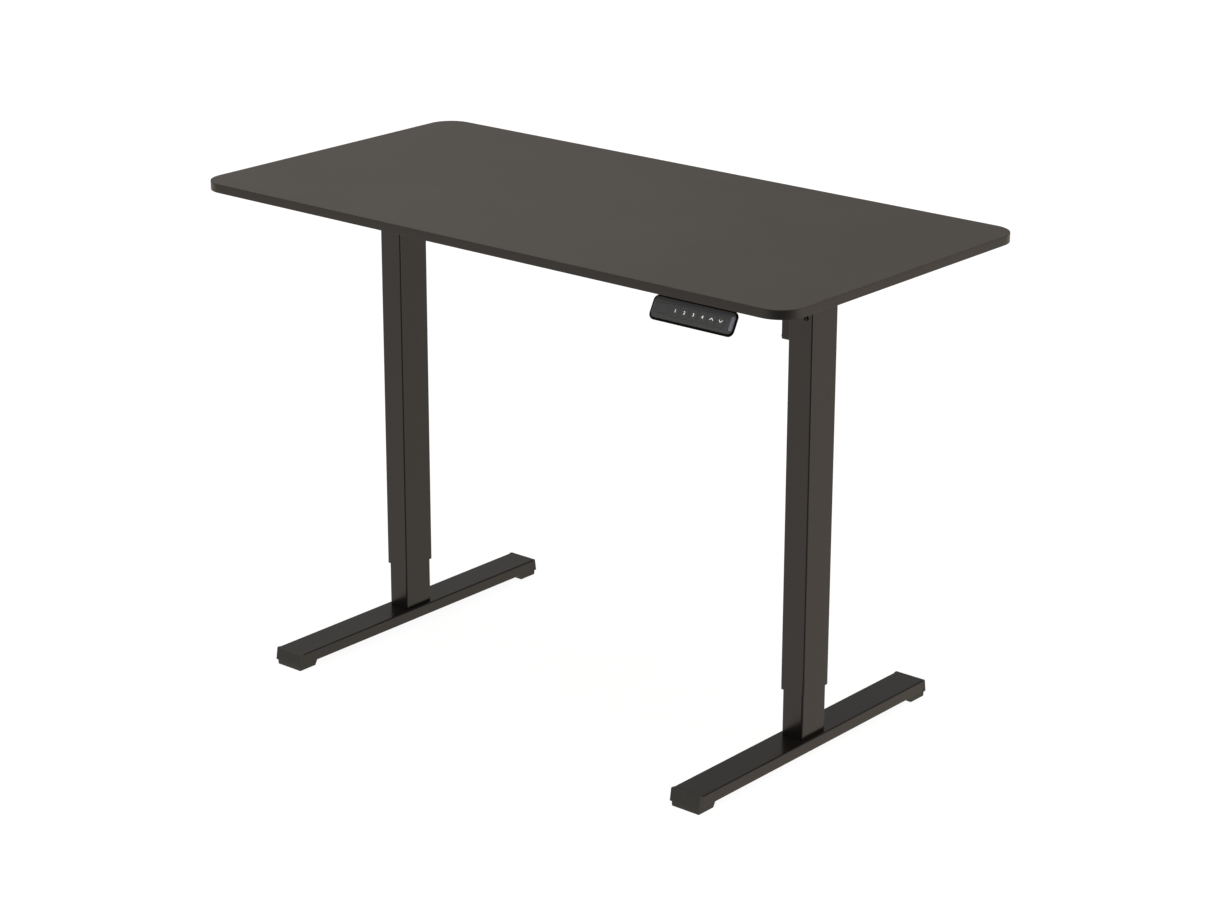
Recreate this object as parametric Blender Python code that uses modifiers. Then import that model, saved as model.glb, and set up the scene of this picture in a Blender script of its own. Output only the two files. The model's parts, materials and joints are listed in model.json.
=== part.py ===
"""Height adjustable standing desk with a board top on two telescopic columns.

One motor beside the right column turns a hexagonal cross shaft. Bevel gears at the top
of both columns pass the turn on to two spindles, which lift the columns' outer tubes off
the inner tubes that stand on the feet. A handset with six keys hangs under the front edge.

Units are metres and +Z is up. The origin is on the floor under the middle of the desktop,
+X is to the right of someone at the desk and -Y is the front edge, where they sit.
"""

from math import acos, atan2, cos, hypot, pi, radians, sin, sqrt, tan

import bmesh
import bpy
from mathutils import Matrix, Vector

# Clearances
GAP = 0.0003
SLIDE_GAP = 0.00015

# Desktop
TOP_WIDTH = 1.200
TOP_DEPTH = 0.600
TOP_THICKNESS = 0.015
TOP_HEIGHT = 0.817
TOP_CORNER_RADIUS = 0.045
TOP_EDGE_RADIUS = 0.0012
UNDERSIDE = TOP_HEIGHT - TOP_THICKNESS
FRAME_TOP = UNDERSIDE - GAP

# Columns
COLUMN_X = 0.428
OUTER_WIDTH, OUTER_DEPTH = 0.045, 0.065
INNER_WIDTH, INNER_DEPTH = 0.040, 0.060
TUBE_WALL = 0.0015
TUBE_CORNER_RADIUS = 0.0028
OUTER_BOTTOM = 0.107
OUTER_TOP = 0.7992
INNER_TOP = 0.598

# Feet
FOOT_WIDTH = 0.057
FOOT_UNDERSIDE = 0.0091
FOOT_TOP = 0.0292
FOOT_WALL = 0.002
BEAM_HALF_LENGTH = 0.2905
FOOT_BOLT_Y = 0.018

# Side brackets and rails
BRACKET_HALF_LENGTH = 0.220
BRACKET_SHEET = 0.002
BRACKET_HEIGHT = 0.032
BRACKET_END_HEIGHT = 0.012
RAIL_Y = 0.070
RAIL_WIDTH = 0.020
RAIL_BOTTOM, RAIL_TOP = 0.770, 0.794

# Drive train
SHAFT_Z = 0.745
SHAFT_ACROSS_FLATS = 0.008
BEVEL_TEETH = 12
BEVEL_PITCH_RADIUS = 0.011
BEVEL_FACE = 0.005
SPUR_MODULE = 0.00125
SHAFT_GEAR_TEETH = 32
PINION_TEETH = 12
SPUR_FACE = 0.007
SPUR_X = 0.3935
PRESSURE_ANGLE = radians(22.0)
TOOTH_BACKLASH = 0.06
SPINDLE_RADIUS = 0.007
JOURNAL_RADIUS = 0.005
SPINDLE_BOTTOM = 0.185
MOTOR_RADIUS = 0.016
MOTOR_LENGTH = 0.070
MOTOR_Z = SHAFT_Z - SPUR_MODULE * (SHAFT_GEAR_TEETH + PINION_TEETH) / 2

# Gearboxes inside the columns
GEARBOX_BOTTOM, GEARBOX_TOP = 0.693, 0.777
BEARING_SEAT = 0.704
CAVITY_FLOOR = 0.716

# Gear housing on the right column
HOUSING_INNER_X = 0.3892
HOUSING_HALF_DEPTH = 0.028
HOUSING_BOTTOM, HOUSING_TOP = 0.677, 0.7694
HOUSING_WALL = 0.0024

# Gearbox screws
SCREW_Z = 0.719
SCREW_OFFSET = 0.010

# Handset: its face leans back from the lower edge to the upper edge. The centres and sizes
# below lie in the face, from the middle of the line of keys, along it and up it.
HANDSET_LEFT, HANDSET_RIGHT = 0.3582, 0.5119
HANDSET_LOW_EDGE = (-0.3110, 0.76707)
HANDSET_HIGH_EDGE = (-0.2930, 0.8005)
KEY_LINE_DROP = 0.01846
HANDSET_CORNER_RADIUS = 0.0097
BEZEL_THICKNESS = 0.0034
BODY_CENTRE, BODY_SIZE, BODY_DEPTH = (-0.00155, 0.0), (0.1406, 0.0320), 0.0100
WELL_SIZE, WELL_DEPTH = (0.1356, 0.0270), 0.0085
PANEL_SIZE, PANEL_CORNER_RADIUS = (0.1488, 0.0318), 0.0072
PANEL_THICKNESS = 0.0022
KEY_PITCH = 0.01652
FIRST_KEY_X = -0.03255
KEY_WIDTH, KEY_HEIGHT = 0.0138, 0.0180
KEY_TRAVEL = 0.0005
DISPLAY_CENTRE, DISPLAY_SIZE = (-0.05655, 0.0), (0.0240, 0.0150)
INSERT_CENTRE, INSERT_SIZE = (0.0700, 0.0), (0.0064, 0.0212)

# The handset's mounting foot, from its back up to the desktop
HANDSET_FOOT_LEFT, HANDSET_FOOT_RIGHT = 0.3720, 0.4440
HANDSET_FOOT_SPAN = (-0.0055, 0.0145)
HANDSET_FOOT_FRONT = -0.2850
HANDSET_TAIL = (-0.225, 0.7895)

# Control box
BOX_LEFT, BOX_RIGHT = 0.020, 0.220
BOX_FRONT, BOX_BACK = 0.095, 0.185
BOX_BOTTOM = 0.7670
BOX_WALL = 0.0022
INLET_CENTRE = (0.140, 0.7845)

# Leads, and the points each one's middle runs through, over the rails to the control box
MOTOR_LEAD_RADIUS = 0.0025
HANDSET_LEAD_RADIUS = 0.0020
MOTOR_LEAD_ROUTE = [
    (0.3186, 0.000, 0.7175),
    (0.3090, 0.000, 0.7175),
    (0.2930, 0.008, 0.7250),
    (0.2840, 0.022, 0.7550),
    (0.2800, 0.038, 0.7860),
    (0.2760, 0.058, 0.7978),
    (0.2690, 0.085, 0.7976),
    (0.2600, 0.105, 0.7925),
    (0.2450, 0.117, 0.7860),
    (0.2310, 0.118, 0.7845),
    (0.2203, 0.118, 0.7845),
]
HANDSET_LEAD_ROUTE = [
    (0.3850, -0.2246, 0.7958),
    (0.3850, -0.2150, 0.7958),
    (0.3810, -0.1950, 0.7982),
    (0.3640, -0.1550, 0.7988),
    (0.3350, -0.1150, 0.7988),
    (0.3110, -0.0700, 0.7984),
    (0.3000, -0.0100, 0.7984),
    (0.2930, 0.0450, 0.7984),
    (0.2900, 0.0900, 0.7980),
    (0.2780, 0.1300, 0.7930),
    (0.2500, 0.1490, 0.7865),
    (0.2310, 0.1500, 0.7845),
    (0.2203, 0.1500, 0.7845),
]

ARC_STEPS = 4
COLLECTION_NAME = "height_adjustable_standing_desk"


# Scene, materials and small tools


def clear_scene():
    for obj in list(bpy.data.objects):
        bpy.data.objects.remove(obj, do_unlink=True)


def new_collection(name):
    collection = bpy.data.collections.new(name)
    bpy.context.scene.collection.children.link(collection)
    return collection


clear_scene()
PARTS = new_collection(COLLECTION_NAME)
CUTTERS = new_collection("cutters")


def finish_material(name, colour, roughness, metallic):
    material = bpy.data.materials.new(name)
    material.use_nodes = True
    shader = material.node_tree.nodes["Principled BSDF"]
    shader.inputs["Base Color"].default_value = (*colour, 1.0)
    shader.inputs["Roughness"].default_value = roughness
    shader.inputs["Metallic"].default_value = metallic
    return material


MATERIALS = {
    "laminate": finish_material("dark_laminate", (0.085, 0.078, 0.072), 0.55, 0.0),
    "powder_coat": finish_material("powder_coated_steel", (0.045, 0.040, 0.036), 0.45, 0.0),
    "black_plastic": finish_material("black_plastic", (0.020, 0.019, 0.018), 0.50, 0.0),
    "grey_plastic": finish_material("dark_grey_plastic", (0.053, 0.050, 0.050), 0.45, 0.0),
    "pale_plastic": finish_material("pale_insert", (0.38, 0.37, 0.46), 0.35, 0.0),
    "display": finish_material("display_window", (0.045, 0.044, 0.045), 0.25, 0.0),
    "glide": finish_material("glide_plastic", (0.55, 0.54, 0.50), 0.50, 0.0),
    "steel": finish_material("bright_steel", (0.56, 0.56, 0.57), 0.30, 1.0),
    "black_screw": finish_material("blackened_steel", (0.030, 0.030, 0.032), 0.38, 0.9),
    "die_cast": finish_material("die_cast_alloy", (0.48, 0.48, 0.50), 0.45, 1.0),
    "board": finish_material("circuit_board", (0.02, 0.13, 0.06), 0.55, 0.0),
    "cable": finish_material("cable_jacket", (0.016, 0.016, 0.016), 0.55, 0.0),
}


def in_collection(obj, collection):
    for other in list(obj.users_collection):
        other.objects.unlink(obj)
    collection.objects.link(obj)


def as_part(obj, name, finish):
    """Names an object as a sub-part and gives it its finish."""
    obj.name = name
    obj.data.name = name
    obj.data.materials.clear()
    obj.data.materials.append(MATERIALS[finish])
    in_collection(obj, PARTS)
    return obj


def as_cutter(obj):
    obj.name = "cutter"
    obj.hide_render = True
    obj.display_type = "WIRE"
    in_collection(obj, CUTTERS)
    return obj


def apply_scale(obj):
    obj.data.transform(Matrix.Diagonal((*obj.scale, 1.0)))
    obj.scale = (1.0, 1.0, 1.0)


def box(low, high):
    """A box between two opposite corners, from a cube primitive."""
    low, high = Vector(low), Vector(high)
    bpy.ops.mesh.primitive_cube_add(size=1.0, location=(low + high) / 2)
    obj = bpy.context.active_object
    obj.scale = high - low
    apply_scale(obj)
    return obj


AXIS_TURNS = {
    "X": Matrix.Rotation(pi / 2, 4, "Y"),
    "Y": Matrix.Rotation(-pi / 2, 4, "X"),
    "Z": Matrix.Identity(4),
}


def cylinder(radius, start, length, axis="Z", sides=24):
    """A cylinder that runs from start along +axis."""
    bpy.ops.mesh.primitive_cylinder_add(radius=radius, depth=length, vertices=sides)
    obj = bpy.context.active_object
    obj.data.transform(Matrix.Translation((0, 0, length / 2)))
    obj.data.transform(AXIS_TURNS[axis])
    obj.location = start
    return obj


def spline_of(curve, points):
    spline = curve.splines.new("POLY")
    spline.points.add(len(points) - 1)
    for point, place in zip(spline.points, points):
        point.co = (*place, 1.0)
    return spline


def mesh_from_curve(curve_object):
    """The curve's solid as a mesh object with its caps welded."""
    bpy.context.view_layer.update()
    depsgraph = bpy.context.evaluated_depsgraph_get()
    mesh = bpy.data.meshes.new_from_object(curve_object.evaluated_get(depsgraph))
    work = bmesh.new()
    work.from_mesh(mesh)
    bmesh.ops.remove_doubles(work, verts=work.verts, dist=1e-6)
    bmesh.ops.recalc_face_normals(work, faces=work.faces)
    work.to_mesh(mesh)
    work.free()
    obj = bpy.data.objects.new("solid", mesh)
    bpy.context.scene.collection.objects.link(obj)
    obj.matrix_world = curve_object.matrix_world.copy()
    bpy.data.objects.remove(curve_object, do_unlink=True)
    return obj


def prism(outlines, start, end, frame=None):
    """Flat outlines, the first one filled and the others holes, drawn out from start to end
    along the local Z of frame."""
    curve = bpy.data.curves.new("outline", "CURVE")
    curve.dimensions = "2D"
    curve.fill_mode = "BOTH"
    curve.extrude = (end - start) / 2
    for outline in outlines:
        spline_of(curve, [(x, y, 0.0) for x, y in outline]).use_cyclic_u = True
    obj = bpy.data.objects.new("outline", curve)
    bpy.context.scene.collection.objects.link(obj)
    obj.matrix_world = (frame or Matrix.Identity(4)) @ Matrix.Translation((0, 0, (start + end) / 2))
    return mesh_from_curve(obj)


# A side profile is drawn as (y, z) and runs along +X.
PROFILE_ALONG_X = Matrix(((0, 0, 1, 0), (1, 0, 0, 0), (0, 1, 0, 0), (0, 0, 0, 1)))


def rounded_rectangle(width, depth, radius, centre=(0.0, 0.0), steps=ARC_STEPS):
    """Corner points of a rectangle with round corners, anticlockwise."""
    points = []
    for turn, (sx, sy) in enumerate(((1, 1), (-1, 1), (-1, -1), (1, -1))):
        cx = centre[0] + sx * (width / 2 - radius)
        cy = centre[1] + sy * (depth / 2 - radius)
        for step in range(steps + 1):
            angle = (turn + step / steps) * pi / 2
            points.append((cx + radius * cos(angle), cy + radius * sin(angle)))
    return points


def turned(profile, steps=24):
    """A solid turned about Z from (radius, z) points that run down its outer side."""
    mesh = bpy.data.meshes.new("turned")
    edges = [(i, i + 1) for i in range(len(profile) - 1)]
    mesh.from_pydata([(radius, 0.0, z) for radius, z in profile], edges, [])
    obj = bpy.data.objects.new("turned", mesh)
    bpy.context.scene.collection.objects.link(obj)
    screw = obj.modifiers.new("turn", "SCREW")
    screw.axis = "Z"
    screw.steps = screw.render_steps = steps
    screw.use_merge_vertices = True
    screw.merge_threshold = 1e-6
    screw.use_smooth_shade = False
    return obj


def join(obj, other, operation):
    """Adds a Boolean modifier; the other object becomes a cutter."""
    modifier = obj.modifiers.new(operation.lower(), "BOOLEAN")
    modifier.operation = operation
    modifier.solver = "EXACT"
    modifier.object = as_cutter(other)


def cut(obj, *others):
    for other in others:
        join(obj, other, "DIFFERENCE")


def unite(obj, *others):
    for other in others:
        join(obj, other, "UNION")


def soften_edges(obj, width, segments=2, limit=radians(50)):
    bevel = obj.modifiers.new("edges", "BEVEL")
    bevel.width = width
    bevel.segments = segments
    bevel.limit_method = "ANGLE"
    bevel.angle_limit = limit
    bevel.use_clamp_overlap = True


def shade_round(obj):
    obj.data.shade_smooth()
    obj.data.set_sharp_from_angle(angle=radians(35))


# One empty for each group of pieces that moves as one


def group_empty(name, place):
    empty = bpy.data.objects.new(name, None)
    empty.empty_display_size = 0.03
    empty.location = place
    PARTS.objects.link(empty)
    return empty


LEFT_LEG_BASE = group_empty("left_leg_base_group", (-COLUMN_X, 0.0, FOOT_TOP))
RIGHT_LEG_BASE = group_empty("right_leg_base_group", (COLUMN_X, 0.0, FOOT_TOP))
UPPER_FRAME = group_empty("upper_frame_group", (0.0, 0.0, FRAME_TOP))
CROSS_SHAFT_GROUP = group_empty("cross_shaft_group", (0.0, 0.0, SHAFT_Z))
PINION_GROUP = group_empty("motor_pinion_group", (SPUR_X, 0.0, MOTOR_Z))
bpy.context.view_layer.update()


def attach(parent, *objects):
    """Parents objects without moving them."""
    bpy.context.view_layer.update()
    for obj in objects:
        obj.parent = parent
        obj.matrix_parent_inverse = parent.matrix_world.inverted()


# Gear teeth


def tooth_half_angle(radius, pitch_radius, teeth):
    """Half of a tooth's angle at a radius, on an involute flank with some backlash."""
    base_radius = pitch_radius * cos(PRESSURE_ANGLE)
    at_radius = acos(min(1.0, base_radius / radius))
    involute = tan(PRESSURE_ANGLE) - PRESSURE_ANGLE - (tan(at_radius) - at_radius)
    return pi / (2 * teeth) * (1 - TOOTH_BACKLASH) + involute


def gear_outline(teeth, module):
    """A spur gear's outline with a tooth centred on +X."""
    pitch_radius = module * teeth / 2
    root, tip = pitch_radius - 1.15 * module, pitch_radius + 0.85 * module
    points = []
    for tooth in range(teeth):
        middle = 2 * pi * tooth / teeth
        flank = [(r, tooth_half_angle(r, pitch_radius, teeth)) for r in (root, tip)]
        for radius, half in flank:
            points.append((radius * cos(middle - half), radius * sin(middle - half)))
        for radius, half in reversed(flank):
            points.append((radius * cos(middle + half), radius * sin(middle + half)))
    return points


def hexagon(across_flats):
    corner = across_flats / sqrt(3)
    return [(corner * cos(k * pi / 3), corner * sin(k * pi / 3)) for k in range(6)]


def bevel_gear_mesh(teeth, pitch_radius, face, first_tooth, hub):
    """A mitre gear about Z: its teeth taper towards the apex, pitch_radius above its pitch
    circle, and a plain hub reaches down behind it."""
    module = 2 * pitch_radius / teeth
    virtual_radius = pitch_radius * sqrt(2)
    virtual_teeth = teeth * sqrt(2)
    apex = Vector((0, 0, pitch_radius))
    shrink = 1 - face / (pitch_radius * sqrt(2))
    outer_ring = []
    for tooth in range(teeth):
        middle = 2 * pi * (tooth + first_tooth) / teeth
        flank = []
        for rise in (-1.1 * module, 0.8 * module):
            virtual = tooth_half_angle(virtual_radius + rise, virtual_radius, virtual_teeth)
            radius = pitch_radius + rise / sqrt(2)
            flank.append((radius, rise / sqrt(2), virtual * sqrt(2)))
        for side, order in ((-1, flank), (1, flank[::-1])):
            for radius, height, half in order:
                angle = middle + side * half
                outer_ring.append(Vector((radius * cos(angle), radius * sin(angle), height)))
    inner_ring = [apex + (point - apex) * shrink for point in outer_ring]
    mesh = bpy.data.meshes.new("bevel_gear")
    work = bmesh.new()
    outer = [work.verts.new(point) for point in outer_ring]
    inner = [work.verts.new(point) for point in inner_ring]
    top = work.verts.new((0, 0, min(point.z for point in inner_ring)))
    bottom = work.verts.new((0, 0, -hub))
    count = len(outer)
    hub_ring = []
    for point in outer_ring:
        radial = Vector((point.x, point.y, 0)).normalized() * (pitch_radius * 0.72)
        hub_ring.append(work.verts.new((radial.x, radial.y, -hub)))
    for k in range(count):
        n = (k + 1) % count
        work.faces.new((outer[k], outer[n], inner[n], inner[k]))
        work.faces.new((inner[k], inner[n], top))
        work.faces.new((hub_ring[k], hub_ring[n], outer[n], outer[k]))
        work.faces.new((hub_ring[n], hub_ring[k], bottom))
    bmesh.ops.recalc_face_normals(work, faces=work.faces)
    work.to_mesh(mesh)
    work.free()
    return mesh


# Feet and inner tubes


def foot_beam(side, x):
    tube = prism(
        [
            rounded_rectangle(FOOT_WIDTH, FOOT_TOP - FOOT_UNDERSIDE, 0.0022, steps=3),
            rounded_rectangle(
                FOOT_WIDTH - 2 * FOOT_WALL,
                FOOT_TOP - FOOT_UNDERSIDE - 2 * FOOT_WALL,
                0.0008,
                steps=2,
            ),
        ],
        -BEAM_HALF_LENGTH,
        BEAM_HALF_LENGTH,
        Matrix.Translation((x, 0, (FOOT_TOP + FOOT_UNDERSIDE) / 2)) @ Matrix.Rotation(-pi / 2, 4, "X"),
    )
    for y in (-FOOT_BOLT_Y, FOOT_BOLT_Y):
        cut(tube, cylinder(0.0043, (x, y, 0.0), 0.035, sides=16))
    return as_part(tube, f"{side}_foot_beam", "powder_coat")


def foot_cap(side, end, x, facing):
    """An end cap: a flange over the beam's end, a plug inside it and a pad on the floor."""
    face = facing * (BEAM_HALF_LENGTH + GAP)
    flange = prism(
        [
            [
                (face, FOOT_TOP),
                (facing * 0.2970, FOOT_TOP),
                (facing * 0.3000, FOOT_UNDERSIDE + 0.0006),
                (facing * 0.3000, FOOT_UNDERSIDE - 0.0004),
                (face, FOOT_UNDERSIDE - 0.0004),
            ]
        ],
        x - FOOT_WIDTH / 2,
        x + FOOT_WIDTH / 2,
        PROFILE_ALONG_X,
    )
    pad = prism(
        [
            [
                (facing * 0.2985, FOOT_UNDERSIDE - GAP),
                (facing * 0.2975, 0.0),
                (facing * 0.2620, 0.0),
                (facing * 0.2570, FOOT_UNDERSIDE - GAP),
            ]
        ],
        x - 0.026,
        x + 0.026,
        PROFILE_ALONG_X,
    )
    plug_half = FOOT_WIDTH / 2 - FOOT_WALL - GAP
    ends = sorted((facing * 0.2650, face + facing * 0.001))
    plug = box(
        (x - plug_half, ends[0], FOOT_UNDERSIDE + FOOT_WALL + GAP),
        (x + plug_half, ends[1], FOOT_TOP - FOOT_WALL - GAP),
    )
    unite(flange, pad, plug)
    return as_part(flange, f"{side}_{end}_foot_cap", "black_plastic")


def foot_bolt(side, end, x, y):
    head_bottom = FOOT_UNDERSIDE - GAP - 0.0050
    bolt = turned(
        [
            (0.0, 0.0460),
            (0.0032, 0.0460),
            (0.0039, 0.0452),
            (0.0039, FOOT_UNDERSIDE - GAP),
            (0.0065, FOOT_UNDERSIDE - GAP),
            (0.0065, head_bottom + 0.0006),
            (0.0059, head_bottom),
            (0.0, head_bottom),
        ],
        steps=12,
    )
    bolt.location = (x, y, 0.0)
    socket = prism([hexagon(0.005)], head_bottom - 0.001, head_bottom + 0.003, Matrix.Translation((x, y, 0)))
    cut(bolt, socket)
    return as_part(bolt, f"{side}_{end}_foot_bolt", "black_screw")


def leg_insert(side, x):
    """The welded block in the foot of the inner tube that the foot bolts screw into."""
    bottom = FOOT_TOP + GAP
    width = INNER_WIDTH - 2 * TUBE_WALL - 2 * GAP
    depth = INNER_DEPTH - 2 * TUBE_WALL - 2 * GAP
    block = prism(
        [rounded_rectangle(width, depth, 0.0014, (x, 0.0), steps=2)],
        bottom,
        bottom + 0.020,
    )
    for y in (-FOOT_BOLT_Y, FOOT_BOLT_Y):
        cut(block, cylinder(0.0042, (x, y, 0.0), 0.060, sides=16))
    return as_part(block, f"{side}_leg_insert", "steel")


def column_tube(name, x, width, depth, bottom, top):
    return as_part(
        prism(
            [
                rounded_rectangle(width, depth, TUBE_CORNER_RADIUS, (x, 0.0)),
                rounded_rectangle(
                    width - 2 * TUBE_WALL,
                    depth - 2 * TUBE_WALL,
                    TUBE_CORNER_RADIUS - TUBE_WALL,
                    (x, 0.0),
                ),
            ],
            bottom,
            top,
        ),
        name,
        "powder_coat",
    )


def spindle_nut(side, x):
    """The nut block on the inner tube's top, which also glides inside the outer tube."""
    flange_bottom = INNER_TOP + GAP
    flange = prism(
        [
            rounded_rectangle(
                OUTER_WIDTH - 2 * TUBE_WALL - 2 * SLIDE_GAP,
                OUTER_DEPTH - 2 * TUBE_WALL - 2 * SLIDE_GAP,
                0.0014,
                (x, 0.0),
            )
        ],
        flange_bottom,
        flange_bottom + 0.012,
    )
    plug = prism(
        [
            rounded_rectangle(
                INNER_WIDTH - 2 * TUBE_WALL - 2 * GAP,
                INNER_DEPTH - 2 * TUBE_WALL - 2 * GAP,
                0.0014,
                (x, 0.0),
                steps=2,
            )
        ],
        flange_bottom - 0.033,
        flange_bottom + 0.006,
    )
    unite(flange, plug)
    cut(flange, cylinder(SPINDLE_RADIUS + GAP, (x, 0.0, 0.50), 0.20))
    return as_part(flange, f"{side}_spindle_nut", "glide")


def leg_base(side, sign, group):
    x = sign * COLUMN_X
    pieces = [
        foot_beam(side, x),
        leg_insert(side, x),
        column_tube(f"{side}_inner_tube", x, INNER_WIDTH, INNER_DEPTH, FOOT_TOP + GAP, INNER_TOP),
        spindle_nut(side, x),
    ]
    for end, facing in (("front", -1), ("rear", 1)):
        pieces.append(foot_cap(side, end, x, facing))
        pieces.append(foot_bolt(side, end, x, facing * FOOT_BOLT_Y))
    attach(group, *pieces)


# Outer tubes, gearboxes and spindles


def outer_tube(side, sign, x):
    tube = column_tube(f"{side}_outer_tube", x, OUTER_WIDTH, OUTER_DEPTH, OUTER_BOTTOM, OUTER_TOP)
    shaft_hole_start = x - 0.005 if sign < 0 else x - 0.035
    cut(tube, cylinder(0.0065, (shaft_hole_start, 0.0, SHAFT_Z), 0.040, "X", sides=16))
    for offset in (-SCREW_OFFSET, SCREW_OFFSET):
        cut(tube, cylinder(0.0022, (x + offset, -0.040, SCREW_Z), 0.020, "Y", sides=12))
    return tube


def glide_collar(side, x):
    """The plastic collar in the mouth of the outer tube that the inner tube slides through."""
    collar = prism(
        [
            rounded_rectangle(
                OUTER_WIDTH - 2 * TUBE_WALL - 2 * SLIDE_GAP,
                OUTER_DEPTH - 2 * TUBE_WALL - 2 * SLIDE_GAP,
                0.0013,
                (x, 0.0),
            ),
            rounded_rectangle(
                INNER_WIDTH + 2 * SLIDE_GAP,
                INNER_DEPTH + 2 * SLIDE_GAP,
                TUBE_CORNER_RADIUS,
                (x, 0.0),
            ),
        ],
        OUTER_BOTTOM + 0.001,
        OUTER_BOTTOM + 0.031,
    )
    return as_part(collar, f"{side}_glide_collar", "glide")


def gearbox_housing(side, sign, x):
    """A cast block in the column's head with room for two bevel gears and a bearing."""
    block = prism(
        [
            rounded_rectangle(
                OUTER_WIDTH - 2 * TUBE_WALL - 2 * GAP,
                OUTER_DEPTH - 2 * TUBE_WALL - 2 * GAP,
                0.0015,
                (x, 0.0),
                steps=2,
            )
        ],
        GEARBOX_BOTTOM,
        GEARBOX_TOP,
    )
    cut(
        block,
        box((x - 0.0177, -0.0150, CAVITY_FLOOR), (x + 0.0177, 0.0150, GEARBOX_TOP + 0.01)),
        cylinder(0.0110, (x, 0.0, BEARING_SEAT), 0.020),
        cylinder(SPINDLE_RADIUS + 2 * GAP, (x, 0.0, GEARBOX_BOTTOM - 0.01), 0.030),
        cylinder(0.0055, (x if sign < 0 else x - 0.030, 0.0, SHAFT_Z), 0.030, "X", sides=16),
    )
    for offset in (-SCREW_OFFSET, SCREW_OFFSET):
        cut(block, cylinder(0.0022, (x + offset, -0.040, SCREW_Z), 0.0225, "Y", sides=12))
    return as_part(block, f"{side}_gearbox_housing", "die_cast")


def spindle_bearing(side, x):
    ring = turned(
        [
            (JOURNAL_RADIUS + SLIDE_GAP, CAVITY_FLOOR - 0.0008),
            (0.0108, CAVITY_FLOOR - 0.0008),
            (0.0108, BEARING_SEAT + GAP),
            (JOURNAL_RADIUS + SLIDE_GAP, BEARING_SEAT + GAP),
            (JOURNAL_RADIUS + SLIDE_GAP, CAVITY_FLOOR - 0.0008),
        ]
    )
    ring.location = (x, 0.0, 0.0)
    return as_part(ring, f"{side}_spindle_bearing", "steel")


def gearbox_screw(side, place, x):
    head_face = -OUTER_DEPTH / 2 - GAP
    screw = turned(
        [
            (0.0, 0.0),
            (0.0016, 0.0),
            (0.0019, -0.0006),
            (0.0019, -0.0120),
            (0.0038, -0.0120),
            (0.0038, -0.0134),
            (0.0030, -0.0142),
            (0.0, -0.0142),
        ],
        steps=12,
    )
    screw.data.transform(Matrix.Rotation(-pi / 2, 4, "X"))
    screw.modifiers["turn"].axis = "Y"
    screw.location = (x, head_face + 0.0120, SCREW_Z)
    drive = cylinder(0.0014, (x, head_face - 0.0040, SCREW_Z), 0.0030, "Y", sides=6)
    cut(screw, drive)
    return as_part(screw, f"{side}_gearbox_screw_{place}", "black_screw")


def spindle(side, x):
    journal_top = SHAFT_Z - BEVEL_PITCH_RADIUS + 0.0028
    shoulder = BEARING_SEAT - 0.0008
    rod = turned(
        [
            (0.0, journal_top),
            (JOURNAL_RADIUS - 0.0006, journal_top),
            (JOURNAL_RADIUS, journal_top - 0.0006),
            (JOURNAL_RADIUS, shoulder),
            (SPINDLE_RADIUS, shoulder),
            (SPINDLE_RADIUS, SPINDLE_BOTTOM + 0.0020),
            (SPINDLE_RADIUS - 0.0020, SPINDLE_BOTTOM),
            (0.0, SPINDLE_BOTTOM),
        ]
    )
    rod.location = (x, 0.0, 0.0)
    shade_round(rod)
    return as_part(rod, f"{side}_spindle", "steel")


def spindle_bevel(side, x):
    mesh = bevel_gear_mesh(BEVEL_TEETH, BEVEL_PITCH_RADIUS, BEVEL_FACE, 0.0, 0.0040)
    gear = bpy.data.objects.new("gear", mesh)
    bpy.context.scene.collection.objects.link(gear)
    gear.location = (x, 0.0, SHAFT_Z - BEVEL_PITCH_RADIUS)
    cut(gear, cylinder(JOURNAL_RADIUS + SLIDE_GAP, (x, 0.0, SHAFT_Z - 0.030), 0.040))
    return as_part(gear, f"{side}_spindle_bevel", "steel")


def shaft_bevel(side, sign, x):
    """The bevel gear on the cross shaft; it sits on the column's inner side, its apex at the
    column's middle, half a tooth on from the spindle's gear."""
    mesh = bevel_gear_mesh(BEVEL_TEETH, BEVEL_PITCH_RADIUS, BEVEL_FACE, 0.5, 0.0035)
    mesh.transform(Matrix.Rotation(sign * pi / 2, 4, "Y"))
    gear = bpy.data.objects.new("gear", mesh)
    bpy.context.scene.collection.objects.link(gear)
    gear.location = (x - sign * BEVEL_PITCH_RADIUS, 0.0, SHAFT_Z)
    bore = prism(
        [hexagon(SHAFT_ACROSS_FLATS + 2 * SLIDE_GAP)],
        x - 0.025,
        x + 0.025,
        Matrix.Translation((0, 0, SHAFT_Z)) @ PROFILE_ALONG_X,
    )
    cut(gear, bore)
    return as_part(gear, f"{side}_shaft_bevel", "steel")


def side_bracket(side, x):
    """A channel pressed from sheet, open below, over the column's head: the desktop rests
    on its web, and its flanges taper towards the ends."""
    middle, end = FRAME_TOP - BRACKET_HEIGHT, FRAME_TOP - BRACKET_END_HEIGHT
    half_width = OUTER_WIDTH / 2 + GAP + BRACKET_SHEET
    channel = prism(
        [
            [
                (-BRACKET_HALF_LENGTH, FRAME_TOP),
                (-BRACKET_HALF_LENGTH, end),
                (-0.100, middle),
                (0.100, middle),
                (BRACKET_HALF_LENGTH, end),
                (BRACKET_HALF_LENGTH, FRAME_TOP),
            ]
        ],
        x - half_width,
        x + half_width,
        PROFILE_ALONG_X,
    )
    inside = half_width - BRACKET_SHEET
    cut(
        channel,
        box(
            (x - inside, -BRACKET_HALF_LENGTH - 0.01, middle - 0.01),
            (x + inside, BRACKET_HALF_LENGTH + 0.01, FRAME_TOP - BRACKET_SHEET),
        ),
    )
    return as_part(channel, f"{side}_side_bracket", "powder_coat")


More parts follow.
